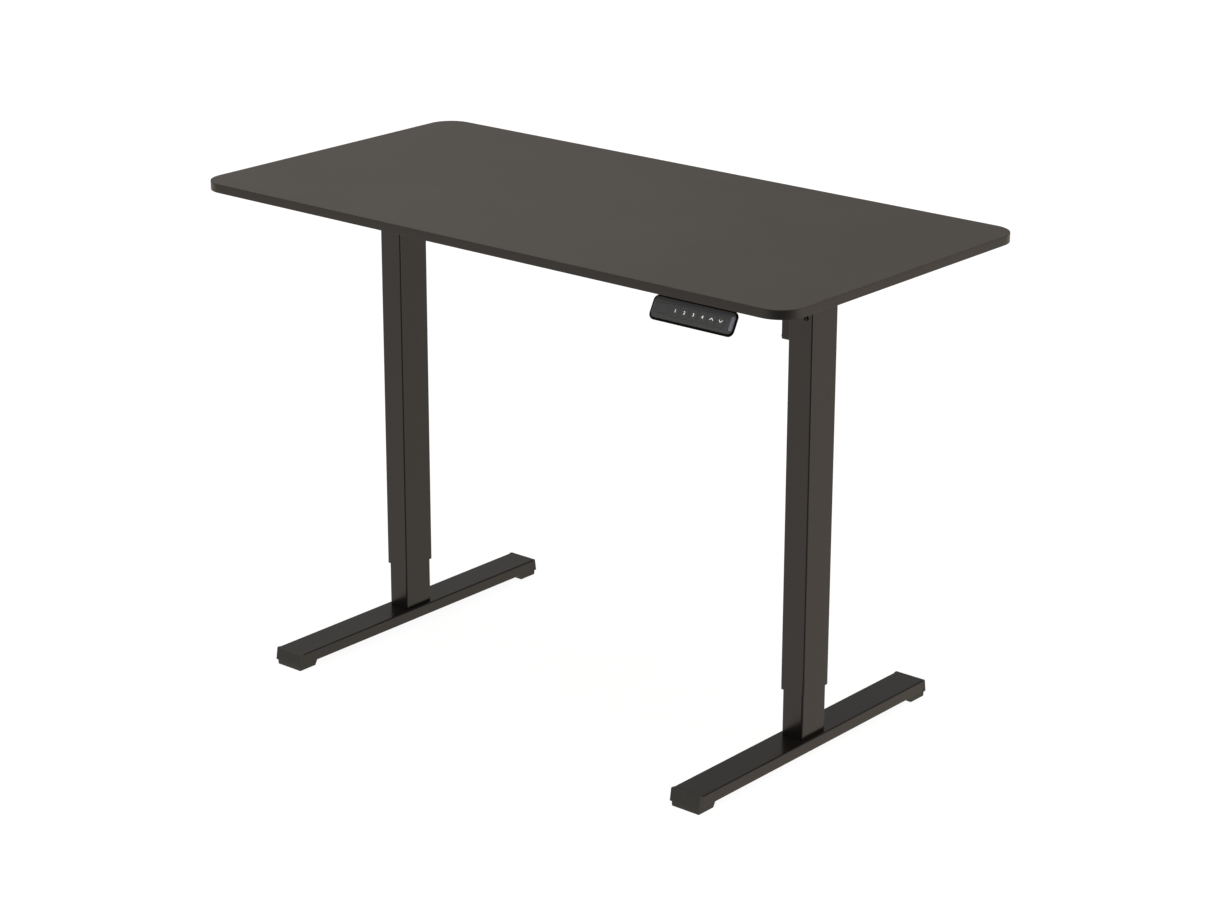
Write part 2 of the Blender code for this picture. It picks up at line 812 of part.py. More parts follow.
def column_head(side, sign):
    x = sign * COLUMN_X
    pieces = [
        outer_tube(side, sign, x),
        glide_collar(side, x),
        gearbox_housing(side, sign, x),
        spindle_bearing(side, x),
        gearbox_screw(side, "inner", x - sign * SCREW_OFFSET),
        gearbox_screw(side, "outer", x + sign * SCREW_OFFSET),
        side_bracket(side, x),
    ]
    attach(UPPER_FRAME, *pieces)
    turning = group_empty(f"{side}_spindle_group", (x, 0.0, SHAFT_Z))
    attach(turning, spindle(side, x), spindle_bevel(side, x))
    attach(UPPER_FRAME, turning)
    attach(CROSS_SHAFT_GROUP, shaft_bevel(side, sign, x))


# Rails, cross shaft and motor


def cross_rail(name, y):
    """A rectangular tube between the two side brackets."""
    half_length = COLUMN_X - OUTER_WIDTH / 2 - GAP - BRACKET_SHEET - GAP
    height = RAIL_TOP - RAIL_BOTTOM
    wall = 2 * TUBE_WALL
    rail = prism(
        [
            rounded_rectangle(RAIL_WIDTH, height, 0.0020, steps=2),
            rounded_rectangle(RAIL_WIDTH - wall, height - wall, 0.0008, steps=1),
        ],
        -half_length,
        half_length,
        Matrix.Translation((0, y, (RAIL_TOP + RAIL_BOTTOM) / 2)) @ PROFILE_ALONG_X,
    )
    return as_part(rail, name, "powder_coat")


def cross_shaft():
    reach = COLUMN_X - BEVEL_PITCH_RADIUS + 0.0025
    shaft = prism(
        [hexagon(SHAFT_ACROSS_FLATS)],
        -reach,
        reach,
        Matrix.Translation((0, 0, SHAFT_Z)) @ PROFILE_ALONG_X,
    )
    return as_part(shaft, "cross_shaft", "steel")


def shaft_gear():
    frame = Matrix.Translation((0, 0, SHAFT_Z)) @ PROFILE_ALONG_X
    gear = prism(
        [
            gear_outline(SHAFT_GEAR_TEETH, SPUR_MODULE),
            hexagon(SHAFT_ACROSS_FLATS + 2 * SLIDE_GAP),
        ],
        SPUR_X,
        SPUR_X + SPUR_FACE,
        frame,
    )
    return as_part(gear, "shaft_gear", "glide")


def motor_pinion():
    """The pinion and its shaft; a gap between two teeth meets the shaft gear's tooth."""
    frame = Matrix.Translation((0, 0, MOTOR_Z)) @ PROFILE_ALONG_X
    half_tooth = Matrix.Rotation(pi / PINION_TEETH, 4, "Z")
    pinion = prism([gear_outline(PINION_TEETH, SPUR_MODULE)], SPUR_X, SPUR_X + SPUR_FACE, frame @ half_tooth)
    unite(pinion, cylinder(0.0025, (HOUSING_INNER_X - 0.012, 0.0, MOTOR_Z), 0.018, "X", sides=16))
    return as_part(pinion, "motor_pinion", "steel")


def gear_housing():
    """A cast cover on the right column's inner face, open towards the column."""
    column_face = COLUMN_X - OUTER_WIDTH / 2 - GAP
    cover = box(
        (HOUSING_INNER_X, -HOUSING_HALF_DEPTH, HOUSING_BOTTOM),
        (column_face, HOUSING_HALF_DEPTH, HOUSING_TOP),
    )
    soften_edges(cover, 0.0015)
    inside = HOUSING_HALF_DEPTH - HOUSING_WALL
    cut(
        cover,
        box(
            (HOUSING_INNER_X + HOUSING_WALL, -inside, MOTOR_Z - 0.0125),
            (column_face + 0.01, inside, HOUSING_TOP - HOUSING_WALL),
        ),
        cylinder(0.0060, (HOUSING_INNER_X - 0.01, 0.0, SHAFT_Z), 0.020, "X", sides=16),
        cylinder(0.0032, (HOUSING_INNER_X - 0.01, 0.0, MOTOR_Z), 0.020, "X", sides=16),
    )
    return as_part(cover, "gear_housing", "black_plastic")


def motor():
    """The motor's can with its end bell, and a blind bore for the pinion's shaft."""
    face = HOUSING_INNER_X - GAP
    can = turned(
        [
            (0.0, 0.0),
            (0.0140, 0.0),
            (MOTOR_RADIUS, -0.0020),
            (MOTOR_RADIUS, 0.0100 - MOTOR_LENGTH),
            (0.0148, 0.0100 - MOTOR_LENGTH),
            (0.0148, 0.0015 - MOTOR_LENGTH),
            (0.0130, -MOTOR_LENGTH),
            (0.0, -MOTOR_LENGTH),
        ],
        steps=32,
    )
    can.rotation_euler = (0.0, pi / 2, 0.0)
    can.location = (face, 0.0, MOTOR_Z)
    cut(can, cylinder(0.0032, (face - 0.015, 0.0, MOTOR_Z), 0.030, "X", sides=16))
    shade_round(can)
    return as_part(can, "motor_can", "black_screw")


# Handset


def handset_face_frame():
    """The handset face's own frame: +X along the face, +Y up it and +Z out of it."""
    low, high = Vector((0, *HANDSET_LOW_EDGE)), Vector((0, *HANDSET_HIGH_EDGE))
    tilt = atan2(high.z - low.z, high.y - low.y)
    middle = high + (low - high).normalized() * KEY_LINE_DROP
    middle.x = (HANDSET_LEFT + HANDSET_RIGHT) / 2
    return Matrix.Translation(middle) @ Matrix.Rotation(tilt, 4, "X")


def handset_case(frame):
    """A thin bezel and a shallow body behind it, with a stepped pocket in the face, on a
    foot that screws up under the desktop."""
    rise = HANDSET_HIGH_EDGE[1] - HANDSET_LOW_EDGE[1]
    face_height = hypot(HANDSET_HIGH_EDGE[0] - HANDSET_LOW_EDGE[0], rise)
    outline = rounded_rectangle(
        HANDSET_RIGHT - HANDSET_LEFT,
        face_height,
        HANDSET_CORNER_RADIUS,
        (0.0, KEY_LINE_DROP - face_height / 2),
        steps=6,
    )
    case = prism([outline], -BEZEL_THICKNESS, 0.0, frame)
    body = prism([rounded_rectangle(*BODY_SIZE, 0.006, BODY_CENTRE)], -BODY_DEPTH, -0.002, frame)
    low, high = (frame @ Vector((0.0, up, 0.0007 - BODY_DEPTH)) for up in HANDSET_FOOT_SPAN)
    foot = prism(
        [
            [
                (low.y, low.z),
                (high.y, high.z),
                (HANDSET_FOOT_FRONT, FRAME_TOP),
                (HANDSET_TAIL[0], FRAME_TOP),
                HANDSET_TAIL,
            ]
        ],
        HANDSET_FOOT_LEFT,
        HANDSET_FOOT_RIGHT,
        PROFILE_ALONG_X,
    )
    unite(case, body, foot)
    pocket = rounded_rectangle(
        PANEL_SIZE[0] + 2 * GAP, PANEL_SIZE[1] + 2 * GAP, PANEL_CORNER_RADIUS + GAP
    )
    well = rounded_rectangle(*WELL_SIZE, 0.0030, BODY_CENTRE)
    cut(
        case,
        prism([pocket], -PANEL_THICKNESS - GAP, 0.010, frame),
        prism([well], -WELL_DEPTH, 0.010, frame),
    )
    return as_part(case, "handset_case", "black_plastic")


def key_centres():
    return [(FIRST_KEY_X + number * KEY_PITCH, 0.0) for number in range(6)]


def handset_panel(frame):
    """The face plate, with a hole for each key, the display and the pale insert."""
    fillings = [(KEY_WIDTH, KEY_HEIGHT, centre) for centre in key_centres()]
    fillings.append((*DISPLAY_SIZE, DISPLAY_CENTRE))
    fillings.append((*INSERT_SIZE, INSERT_CENTRE))
    holes = [rounded_rectangle(w + 2 * GAP, h + 2 * GAP, 0.0018, c, steps=2) for w, h, c in fillings]
    outline = rounded_rectangle(*PANEL_SIZE, PANEL_CORNER_RADIUS)
    panel = prism([outline, *holes], -PANEL_THICKNESS, 0.0, frame)
    return as_part(panel, "handset_panel", "grey_plastic")


def face_filling(name, size, centre, frame, finish):
    """A piece that fills its hole in the face plate, flush with it."""
    outline = rounded_rectangle(*size, 0.0015, centre, steps=2)
    return as_part(prism([outline], -PANEL_THICKNESS, 0.0, frame), name, finish)


def handset():
    frame = handset_face_frame()
    pieces = [
        handset_case(frame),
        handset_panel(frame),
        face_filling("handset_display", DISPLAY_SIZE, DISPLAY_CENTRE, frame, "display"),
        face_filling("handset_insert", INSERT_SIZE, INSERT_CENTRE, frame, "pale_plastic"),
    ]
    board_top = -PANEL_THICKNESS - 0.0020 - KEY_TRAVEL
    board_size = (WELL_SIZE[0] - 0.0010, WELL_SIZE[1] - 0.0010)
    outline = rounded_rectangle(*board_size, 0.0020, BODY_CENTRE, steps=1)
    board = prism([outline], board_top - 0.0016, board_top, frame)
    pieces.append(as_part(board, "handset_board", "board"))
    attach(UPPER_FRAME, *pieces)
    for number, centre in enumerate(key_centres(), start=1):
        outline = rounded_rectangle(KEY_WIDTH, KEY_HEIGHT, 0.0015, steps=2)
        place = frame @ Matrix.Translation((*centre, 0.0))
        cap = prism([outline], -PANEL_THICKNESS - 0.0018, 0.0, place)
        key = as_part(cap, f"handset_key_{number}", "grey_plastic")
        attach(UPPER_FRAME, key)


# Control box and leads


def control_box():
    """An open tub screwed up under the desktop, which closes it."""
    tub = box((BOX_LEFT, BOX_FRONT, BOX_BOTTOM), (BOX_RIGHT, BOX_BACK, FRAME_TOP))
    soften_edges(tub, 0.0015)
    inlet_y, inlet_z = INLET_CENTRE
    cut(
        tub,
        box(
            (BOX_LEFT + BOX_WALL, BOX_FRONT + BOX_WALL, BOX_BOTTOM + BOX_WALL),
            (BOX_RIGHT - BOX_WALL, BOX_BACK - BOX_WALL, FRAME_TOP + 0.01),
        ),
        box(
            (BOX_LEFT - 0.01, inlet_y - 0.0137, inlet_z - 0.0100),
            (BOX_LEFT + 0.01, inlet_y + 0.0137, inlet_z + 0.0100),
        ),
    )
    board = box(
        (BOX_LEFT + 0.025, BOX_FRONT + 0.006, BOX_BOTTOM + 0.0050),
        (BOX_RIGHT - 0.010, BOX_BACK - 0.006, BOX_BOTTOM + 0.0066),
    )
    return [
        as_part(tub, "control_box_case", "black_plastic"),
        as_part(board, "control_board", "board"),
    ]


def mains_inlet():
    """A socket for a mains lead, in the control box's left end, with its mouth to the left."""
    y, z = INLET_CENTRE
    flange = box((BOX_LEFT - GAP - 0.0020, y - 0.0160, z - 0.0125), (BOX_LEFT - GAP, y + 0.0160, z + 0.0125))
    body = box((BOX_LEFT - 0.0010, y - 0.0134, z - 0.0097), (BOX_LEFT + 0.0180, y + 0.0134, z + 0.0097))
    unite(flange, body)
    cut(flange, box((BOX_LEFT - 0.010, y - 0.0115, z - 0.0078), (BOX_LEFT + 0.0150, y + 0.0115, z + 0.0078)))
    return as_part(flange, "mains_inlet", "black_plastic")


def smooth_route(points, pieces):
    """Points of a Catmull-Rom curve through a route's points, its ends leaving straight."""
    places = [Vector(p) for p in points]
    places = [2 * places[0] - places[1], *places, 2 * places[-1] - places[-2]]
    smooth = []
    for before, start, end, after in zip(places, places[1:], places[2:], places[3:]):
        for step in range(pieces):
            t = step / pieces
            smooth.append(
                0.5
                * (
                    2 * start
                    + (end - before) * t
                    + (2 * before - 5 * start + 4 * end - after) * t**2
                    + (3 * start - before - 3 * end + after) * t**3
                )
            )
    smooth.append(places[-2])
    return smooth


def lead(name, route, radius):
    curve = bpy.data.curves.new(name, "CURVE")
    curve.dimensions = "3D"
    curve.bevel_depth = radius
    curve.bevel_resolution = 2
    curve.use_fill_caps = True
    spline_of(curve, [tuple(point) for point in smooth_route(route, 3)])
    obj = bpy.data.objects.new(name, curve)
    bpy.context.scene.collection.objects.link(obj)
    return as_part(obj, name, "cable")


# The whole desk


def desktop():
    top = prism(
        [rounded_rectangle(TOP_WIDTH, TOP_DEPTH, TOP_CORNER_RADIUS, steps=12)],
        UNDERSIDE,
        TOP_HEIGHT,
    )
    soften_edges(top, TOP_EDGE_RADIUS)
    return as_part(top, "desktop", "laminate")


def build_desk():
    leg_base("left", -1, LEFT_LEG_BASE)
    leg_base("right", 1, RIGHT_LEG_BASE)
    column_head("left", -1)
    column_head("right", 1)
    attach(
        UPPER_FRAME,
        desktop(),
        cross_rail("front_rail", -RAIL_Y),
        cross_rail("rear_rail", RAIL_Y),
        gear_housing(),
        motor(),
        mains_inlet(),
        *control_box(),
        lead("motor_lead", MOTOR_LEAD_ROUTE, MOTOR_LEAD_RADIUS),
        lead("handset_lead", HANDSET_LEAD_ROUTE, HANDSET_LEAD_RADIUS),
    )
    handset()
    attach(CROSS_SHAFT_GROUP, cross_shaft(), shaft_gear())
    attach(PINION_GROUP, motor_pinion())
    attach(UPPER_FRAME, CROSS_SHAFT_GROUP, PINION_GROUP)
    attach(UPPER_FRAME, RIGHT_LEG_BASE)
    attach(LEFT_LEG_BASE, UPPER_FRAME)


build_desk()
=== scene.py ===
"""Visual model of a height adjustable standing desk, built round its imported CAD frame.

Metres, +Z up, the desk's front edge towards -Y. CAD nodes whose shape is right keep it and
get a finish and softened edges; the others are hidden behind a finer piece.
"""

import json  # noqa: E402
from math import atan2, cos, pi, radians, sin  # noqa: E402

import bmesh  # noqa: E402
import bpy  # noqa: E402
from mathutils import Matrix, Vector  # noqa: E402


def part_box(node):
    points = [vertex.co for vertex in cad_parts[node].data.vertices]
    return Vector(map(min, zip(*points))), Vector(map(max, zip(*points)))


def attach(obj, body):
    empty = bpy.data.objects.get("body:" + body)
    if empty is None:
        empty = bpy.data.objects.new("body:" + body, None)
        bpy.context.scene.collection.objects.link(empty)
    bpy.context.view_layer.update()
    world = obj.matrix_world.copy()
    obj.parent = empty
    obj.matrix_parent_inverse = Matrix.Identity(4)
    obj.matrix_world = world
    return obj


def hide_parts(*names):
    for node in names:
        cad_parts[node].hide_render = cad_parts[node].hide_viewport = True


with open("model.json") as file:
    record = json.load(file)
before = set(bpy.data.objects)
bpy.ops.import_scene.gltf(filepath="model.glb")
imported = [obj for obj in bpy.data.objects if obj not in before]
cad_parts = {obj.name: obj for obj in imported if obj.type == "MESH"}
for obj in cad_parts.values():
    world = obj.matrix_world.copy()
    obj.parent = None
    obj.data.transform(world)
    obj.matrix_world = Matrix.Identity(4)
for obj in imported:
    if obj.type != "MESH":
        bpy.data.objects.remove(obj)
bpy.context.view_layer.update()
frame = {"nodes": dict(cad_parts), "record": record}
NODES = frame["nodes"]
UPPER = "upper_frame"
SIDES = {"left": -1, "right": 1}


# Camera: off the desk's front right corner, looking down a little

CAMERA_PLACE = Vector((3.0518, -3.6028, 2.0175))
CAMERA_TILT, CAMERA_YAW = radians(71.1459), radians(40.4677)

camera_data = bpy.data.cameras.new("camera")
camera_data.sensor_width = 36.0
camera_data.lens = 90.81
camera_data.shift_x = 0.01647
camera_data.shift_y = -0.00453
camera_data.clip_end = 200.0
camera = bpy.data.objects.new("camera", camera_data)
camera.location = CAMERA_PLACE
camera.rotation_euler = (CAMERA_TILT, 0.0, CAMERA_YAW)
bpy.context.scene.collection.objects.link(camera)
bpy.context.scene.camera = camera


# Light and floor

# Colour by the direction's height: -1 is straight down, 0 the horizon and 1 overhead
HEIGHT_STOPS = [
    (-1.00, (0.50, 0.45, 0.41)),
    (-0.40, (0.93, 0.86, 0.80)),
    (-0.10, (0.93, 0.86, 0.80)),
    (0.02, (0.25, 0.24, 0.23)),
    (0.30, (0.34, 0.355, 0.365)),
    (0.40, (0.37, 0.385, 0.395)),
    (0.56, (0.20, 0.205, 0.21)),
    (0.72, (0.20, 0.205, 0.21)),
    (1.00, (2.45, 2.37, 2.28)),
]
# Tint by how far the direction is towards the camera: -1 is away from it and 1 at it
SIDE_STOPS = [
    (-1.00, (0.90, 0.85, 0.78)),
    (-0.20, (0.90, 0.85, 0.78)),
    (0.06, (0.95, 0.95, 0.95)),
    (0.28, (1.14, 1.12, 1.10)),
    (0.55, (1.08, 1.07, 1.06)),
    (0.95, (0.10, 0.10, 0.10)),
]
WHITE = (1.0, 1.0, 1.0, 1.0)
FLOOR_RADIUS = 60.0
FLOOR_DROP = 0.0002
FLOOR_REFLECTANCE, FLOOR_GLOW = 0.14, 0.95


def noise(nodes, links, coordinates, scale, detail=3.0, roughness=0.55):
    texture = nodes.new("ShaderNodeTexNoise")
    texture.inputs["Scale"].default_value = scale
    texture.inputs["Detail"].default_value = detail
    texture.inputs["Roughness"].default_value = roughness
    links.new(coordinates, texture.inputs["Vector"])
    return texture.outputs[0]


def map_range(nodes, links, value, source, target):
    node = nodes.new("ShaderNodeMapRange")
    node.inputs["From Min"].default_value = source[0]
    node.inputs["From Max"].default_value = source[1]
    node.inputs["To Min"].default_value = target[0]
    node.inputs["To Max"].default_value = target[1]
    links.new(value, node.inputs["Value"])
    return node.outputs[0]


def ramp(nodes, links, value, stops):
    """Colours between stops of (value from -1 to 1, colour)."""
    node = nodes.new("ShaderNodeValToRGB")
    elements = node.color_ramp.elements
    elements[0].position, elements[1].position = 0.0, 1.0
    while len(elements) < len(stops):
        elements.new(0.5)
    for element, (place, colour) in zip(elements, stops):
        element.position = (place + 1) / 2
        element.color = (*colour, 1.0)
    links.new(map_range(nodes, links, value, (-1.0, 1.0), (0.0, 1.0)), node.inputs[0])
    return node.outputs[0]


def studio_world():
    """Soft light by height, with a pale sweep below the horizon, and dimmer towards the
    photographer. Camera rays see plain white."""
    world = bpy.data.worlds.new("studio")
    world.use_nodes = True
    nodes, links = world.node_tree.nodes, world.node_tree.links
    nodes.clear()
    out = nodes.new("ShaderNodeOutputWorld")
    mix = nodes.new("ShaderNodeMixShader")
    seen = nodes.new("ShaderNodeBackground")
    seen.inputs["Color"].default_value = WHITE
    seen.inputs["Strength"].default_value = 1.0
    light = nodes.new("ShaderNodeBackground")
    path = nodes.new("ShaderNodeLightPath")
    place = nodes.new("ShaderNodeTexCoord")
    split = nodes.new("ShaderNodeSeparateXYZ")
    towards = nodes.new("ShaderNodeVectorMath")
    towards.operation = "DOT_PRODUCT"
    towards.inputs[1].default_value = Vector((*CAMERA_PLACE.xy, 0.0)).normalized()
    links.new(place.outputs["Generated"], split.inputs[0])
    links.new(place.outputs["Generated"], towards.inputs[0])
    tint = nodes.new("ShaderNodeVectorMath")
    tint.operation = "MULTIPLY"
    links.new(ramp(nodes, links, split.outputs["Z"], HEIGHT_STOPS), tint.inputs[0])
    links.new(ramp(nodes, links, towards.outputs["Value"], SIDE_STOPS), tint.inputs[1])
    links.new(tint.outputs["Vector"], light.inputs["Color"])
    links.new(path.outputs["Is Camera Ray"], mix.inputs[0])
    links.new(light.outputs[0], mix.inputs[1])
    links.new(seen.outputs[0], mix.inputs[2])
    links.new(mix.outputs[0], out.inputs[0])
    bpy.context.scene.world = world


def soft_light(name, place, target, size, power, colour):
    data = bpy.data.lights.new(name, "AREA")
    data.shape = "SQUARE"
    data.size = size
    data.energy = power
    data.color = colour
    lamp = bpy.data.objects.new(name, data)
    lamp.location = place
    aim = Vector(target) - Vector(place)
    lamp.rotation_euler = aim.to_track_quat("-Z", "Y").to_euler()
    lamp.visible_camera = False
    bpy.context.scene.collection.objects.link(lamp)


def studio_floor():
    mesh = bpy.data.meshes.new("floor")
    work = bmesh.new()
    bmesh.ops.create_circle(work, cap_ends=True, radius=FLOOR_RADIUS, segments=96)
    work.to_mesh(mesh)
    work.free()
    floor = bpy.data.objects.new("floor", mesh)
    floor.location.z = -FLOOR_DROP
    floor.visible_glossy = False
    floor.visible_diffuse = False
    bpy.context.scene.collection.objects.link(floor)
    material = bpy.data.materials.new("pale_floor")
    material.use_nodes = True
    shader = material.node_tree.nodes["Principled BSDF"]
    shader.inputs["Base Color"].default_value = (*[FLOOR_REFLECTANCE] * 3, 1.0)
    shader.inputs["Roughness"].default_value = 1.0
    shader.inputs["Specular IOR Level"].default_value = 0.0
    shader.inputs["Emission Color"].default_value = WHITE
    shader.inputs["Emission Strength"].default_value = FLOOR_GLOW
    mesh.materials.append(material)


bpy.context.scene.view_settings.view_transform = "Standard"
studio_world()
soft_light("overhead_left", (-2.6, 1.6, 3.2), (-0.3, 0.1, 0.8), 2.4, 9.5, (1.0, 0.98, 0.95))
soft_light("low_right", (2.6, 0.9, 0.35), (0.4, 0.0, 0.25), 1.4, 4.5, (1.0, 0.80, 0.66))
studio_floor()


# Finishes: colour in linear light, then roughness

NOISE_SPREAD = (0.3, 0.7)  # where nearly all of a noise texture's values lie
SPECKLE_SPREAD = (0.35, 0.65)


def finish(
    name,
    colour,
    roughness,
    metallic=0.0,
    stretch=(1.0, 1.0, 1.0),
    patch=18.0,
    tint=0.06,
    grain=1500.0,
    relief=0.00003,
    gloss_spread=0.04,
    speckle=0.0,
    **sockets,
):
    """A procedural finish: colour that wanders slowly, a fine relief, and a gloss that
    varies with both. stretch draws the relief out along the axes where it is small."""
    material = bpy.data.materials.new(name)
    material.use_nodes = True
    nodes, links = material.node_tree.nodes, material.node_tree.links
    shader = nodes["Principled BSDF"]
    shader.inputs["Metallic"].default_value = metallic
    for socket, value in sockets.items():
        shader.inputs[socket.replace("_", " ")].default_value = value
    place = nodes.new("ShaderNodeTexCoord")
    mapping = nodes.new("ShaderNodeMapping")
    mapping.inputs["Scale"].default_value = stretch
    links.new(place.outputs["Object"], mapping.inputs["Vector"])
    slow = noise(nodes, links, place.outputs["Object"], patch, 4.0)
    fine = noise(nodes, links, mapping.outputs[0], grain)
    mix = nodes.new("ShaderNodeMix")
    mix.data_type = "RGBA"
    mix.inputs["A"].default_value = (*[c * (1.0 - tint) for c in colour], 1.0)
    mix.inputs["B"].default_value = (*[c * (1.0 + tint) for c in colour], 1.0)
    mix_factor = map_range(nodes, links, slow, NOISE_SPREAD, (0.0, 1.0))
    links.new(mix_factor, mix.inputs["Factor"])
    shade = mix.outputs["Result"]
    if speckle:
        dots = noise(nodes, links, place.outputs["Object"], grain * 0.5, 2.0)
        spot = map_range(nodes, links, dots, SPECKLE_SPREAD, (1.0 - speckle, 1.0 + speckle))
        scaled = nodes.new("ShaderNodeVectorMath")
        scaled.operation = "SCALE"
        links.new(shade, scaled.inputs[0])
        links.new(spot, scaled.inputs["Scale"])
        shade = scaled.outputs[0]
    links.new(shade, shader.inputs["Base Color"])
    gloss_range = (roughness - gloss_spread, roughness + gloss_spread)
    gloss = map_range(nodes, links, fine, NOISE_SPREAD, gloss_range)
    links.new(gloss, shader.inputs["Roughness"])
    bump = nodes.new("ShaderNodeBump")
    bump.inputs["Strength"].default_value = 1.0
    bump.inputs["Distance"].default_value = relief
    links.new(fine, bump.inputs["Height"])
    links.new(bump.outputs[0], shader.inputs["Normal"])
    return material


FINISHES = {
    "laminate": finish(
        "laminate", (0.0648, 0.0585, 0.0549), 0.55, patch=7.0, tint=0.04, grain=1400.0,
        relief=0.00004, speckle=0.10, Specular_IOR_Level=0.35,
    ),
    "powder_coat": finish(
        "powder_coat", (0.011, 0.0098, 0.0086), 0.23, patch=11.0, tint=0.06, grain=900.0,
        relief=0.00002, speckle=0.06, Specular_IOR_Level=0.5,
    ),
    "black_plastic": finish(
        "black_plastic", (0.016, 0.015, 0.014), 0.42, patch=40.0, tint=0.08, grain=2200.0,
        relief=0.00002,
    ),
    "grey_plastic": finish(
        "grey_plastic", (0.093, 0.095, 0.099), 0.42, patch=60.0, tint=0.04, grain=3000.0,
        relief=0.00001,
    ),
    "pale_plastic": finish(
        "pale_plastic", (0.30, 0.29, 0.37), 0.32, patch=80.0, tint=0.05, grain=2500.0,
        relief=0.00001,
    ),
    "display_window": finish(
        "display_window", (0.089, 0.091, 0.096), 0.36, patch=60.0, tint=0.04, grain=400.0,
        relief=0.000002, gloss_spread=0.02,
    ),
    "circuit_board": finish(
        "circuit_board", (0.018, 0.120, 0.055), 0.38, patch=120.0, tint=0.20, grain=900.0,
        relief=0.00003, speckle=0.10,
    ),
    "glide_plastic": finish(
        "glide_plastic", (0.55, 0.54, 0.50), 0.42, patch=60.0, tint=0.04, grain=1800.0,
        relief=0.00002,
    ),
    "steel": finish(
        "steel", (0.56, 0.56, 0.57), 0.30, metallic=1.0, stretch=(1.0, 1.0, 14.0), patch=40.0,
        tint=0.08, grain=260.0, relief=0.00001, gloss_spread=0.08,
    ),
    "black_screw": finish(
        "black_screw", (0.028, 0.027, 0.027), 0.36, metallic=0.6, patch=140.0, tint=0.12,
        grain=1600.0, relief=0.00002,
    ),
    "die_cast": finish(
        "die_cast", (0.48, 0.48, 0.50), 0.45, metallic=1.0, patch=50.0, tint=0.10, grain=700.0,
        relief=0.00007, gloss_spread=0.08,
    ),
    "cable_jacket": finish(
        "cable_jacket", (0.016, 0.016, 0.016), 0.50, patch=60.0, tint=0.10, grain=1200.0,
        relief=0.00003,
    ),
}
# Finishes of single pieces, whose material slot is one of those above
# Edge strip: about a third of the laminate's colour, painted shade that darkens the desktop's
# upright edge
EDGE_STRIP_PAINTED_SHADE = finish(
    "edge_strip", (0.022, 0.021, 0.020), 0.36, stretch=(1.0, 1.0, 0.35), patch=9.0, tint=0.05,
    grain=1300.0, relief=0.00004, speckle=0.05, Specular_IOR_Level=0.42,
)
# White print on the keys with a painted glow: it emits light though the keys hold no lamp
GLYPH_INK_PAINTED_GLOW = finish(
    "glyph_ink_painted_glow", (0.90, 0.90, 0.90), 0.50, patch=300.0, tint=0.03, grain=3000.0, relief=0.000005,
    Emission_Color=WHITE, Emission_Strength=0.5,
)
FOOT_CAP_PLASTIC = finish(
    "foot_cap_plastic", (0.0275, 0.0310, 0.0295), 0.48, patch=30.0, tint=0.06, grain=1500.0,
    relief=0.00004,
)
HANDSET_RIM = finish(
    "handset_rim", (0.004, 0.004, 0.004), 0.36, patch=40.0, tint=0.08, grain=2200.0,
    relief=0.00001, Specular_IOR_Level=0.09,
)
ROTOR_BLACK = finish(
    "motor_paint", (0.022, 0.021, 0.021), 0.40, metallic=0.3, patch=40.0, tint=0.10,
    grain=1100.0, relief=0.00004,
)


# Finishes and softened edges on the CAD nodes

SOFT_EDGES = {
    "side_bracket": 0.0006,
    "foot_cap": 0.0006,
    "foot_beam": 0.0003,
    "outer_tube": 0.0003,
    "inner_tube": 0.0003,
    "rail": 0.0003,
    "handset_key": 0.00035,
    "handset_panel": 0.00020,
    "handset_display": 0.00020,
    "handset_insert": 0.00035,
    "mains_inlet": 0.0004,
    "gearbox_housing": 0.0004,
    "spindle_nut": 0.0004,
    "leg_insert": 0.0004,
}


def soften(obj, width, segments=2):
    bevel = obj.modifiers.new("soft_edges", "BEVEL")
    bevel.width = width
    bevel.segments = segments
    bevel.limit_method = "ANGLE"
    bevel.angle_limit = radians(30)
    bevel.use_clamp_overlap = True
    bevel.harden_normals = False


def dress_cad_nodes():
    for subpart in frame["record"]["subparts"]:
        node = NODES[subpart["node"]]
        material = FINISHES[subpart["material_slot"]]
        if "foot_cap" in subpart["node"]:
            material = FOOT_CAP_PLASTIC
        if not node.material_slots:
            node.data.materials.append(material)
        for slot in node.material_slots:
            slot.material = material
        for part_of_name, width in SOFT_EDGES.items():
            if part_of_name in subpart["node"]:
                soften(node, width)


dress_cad_nodes()


# Modelling tools

WELD = 1e-7


def weld(mesh, face_outwards=False):
    work = bmesh.new()
    work.from_mesh(mesh)
    bmesh.ops.remove_doubles(work, verts=work.verts, dist=WELD)
    if face_outwards:
        bmesh.ops.recalc_face_normals(work, faces=work.faces)
    work.to_mesh(mesh)
    work.free()
    return mesh


def mesh_of(name, vertices, faces):
    mesh = bpy.data.meshes.new(name)
    mesh.from_pydata([tuple(v) for v in vertices], [], faces)
    return weld(mesh, face_outwards=True)


def rings_mesh(name, rings, ring_closed=False):
    """Joins rings of equally many points. The ends are filled, or joined to each other."""
    count = len(rings[0])
    vertices = [point for ring in rings for point in ring]
    faces = []
    last = len(rings) if ring_closed else len(rings) - 1
    for row in range(last):
        low, high = row * count, (row + 1) % len(rings) * count
        for i in range(count):
            j = (i + 1) % count
            faces.append((low + i, low + j, high + j, high + i))
    if not ring_closed:
        faces.append(tuple(reversed(range(count))))
        faces.append(tuple(range(len(vertices) - count, len(vertices))))
    return mesh_of(name, vertices, faces)


def piece(name, mesh, material, body=UPPER, smooth_angle=35.0):
    mesh.materials.clear()
    mesh.materials.append(material)
    mesh.shade_smooth()
    mesh.set_sharp_from_angle(angle=radians(smooth_angle))
    obj = bpy.data.objects.new(name, mesh)
    bpy.context.scene.collection.objects.link(obj)
    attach(obj, body)
    return obj


def finished(name, mesh, slot, body=UPPER, smooth_angle=35.0):
    """A piece in the finish that its material slot is named for."""
    return piece(name, mesh, FINISHES[slot], body, smooth_angle)


def arc(count, turn=pi / 2, start=0.0):
    return [start + turn * step / count for step in range(count + 1)]


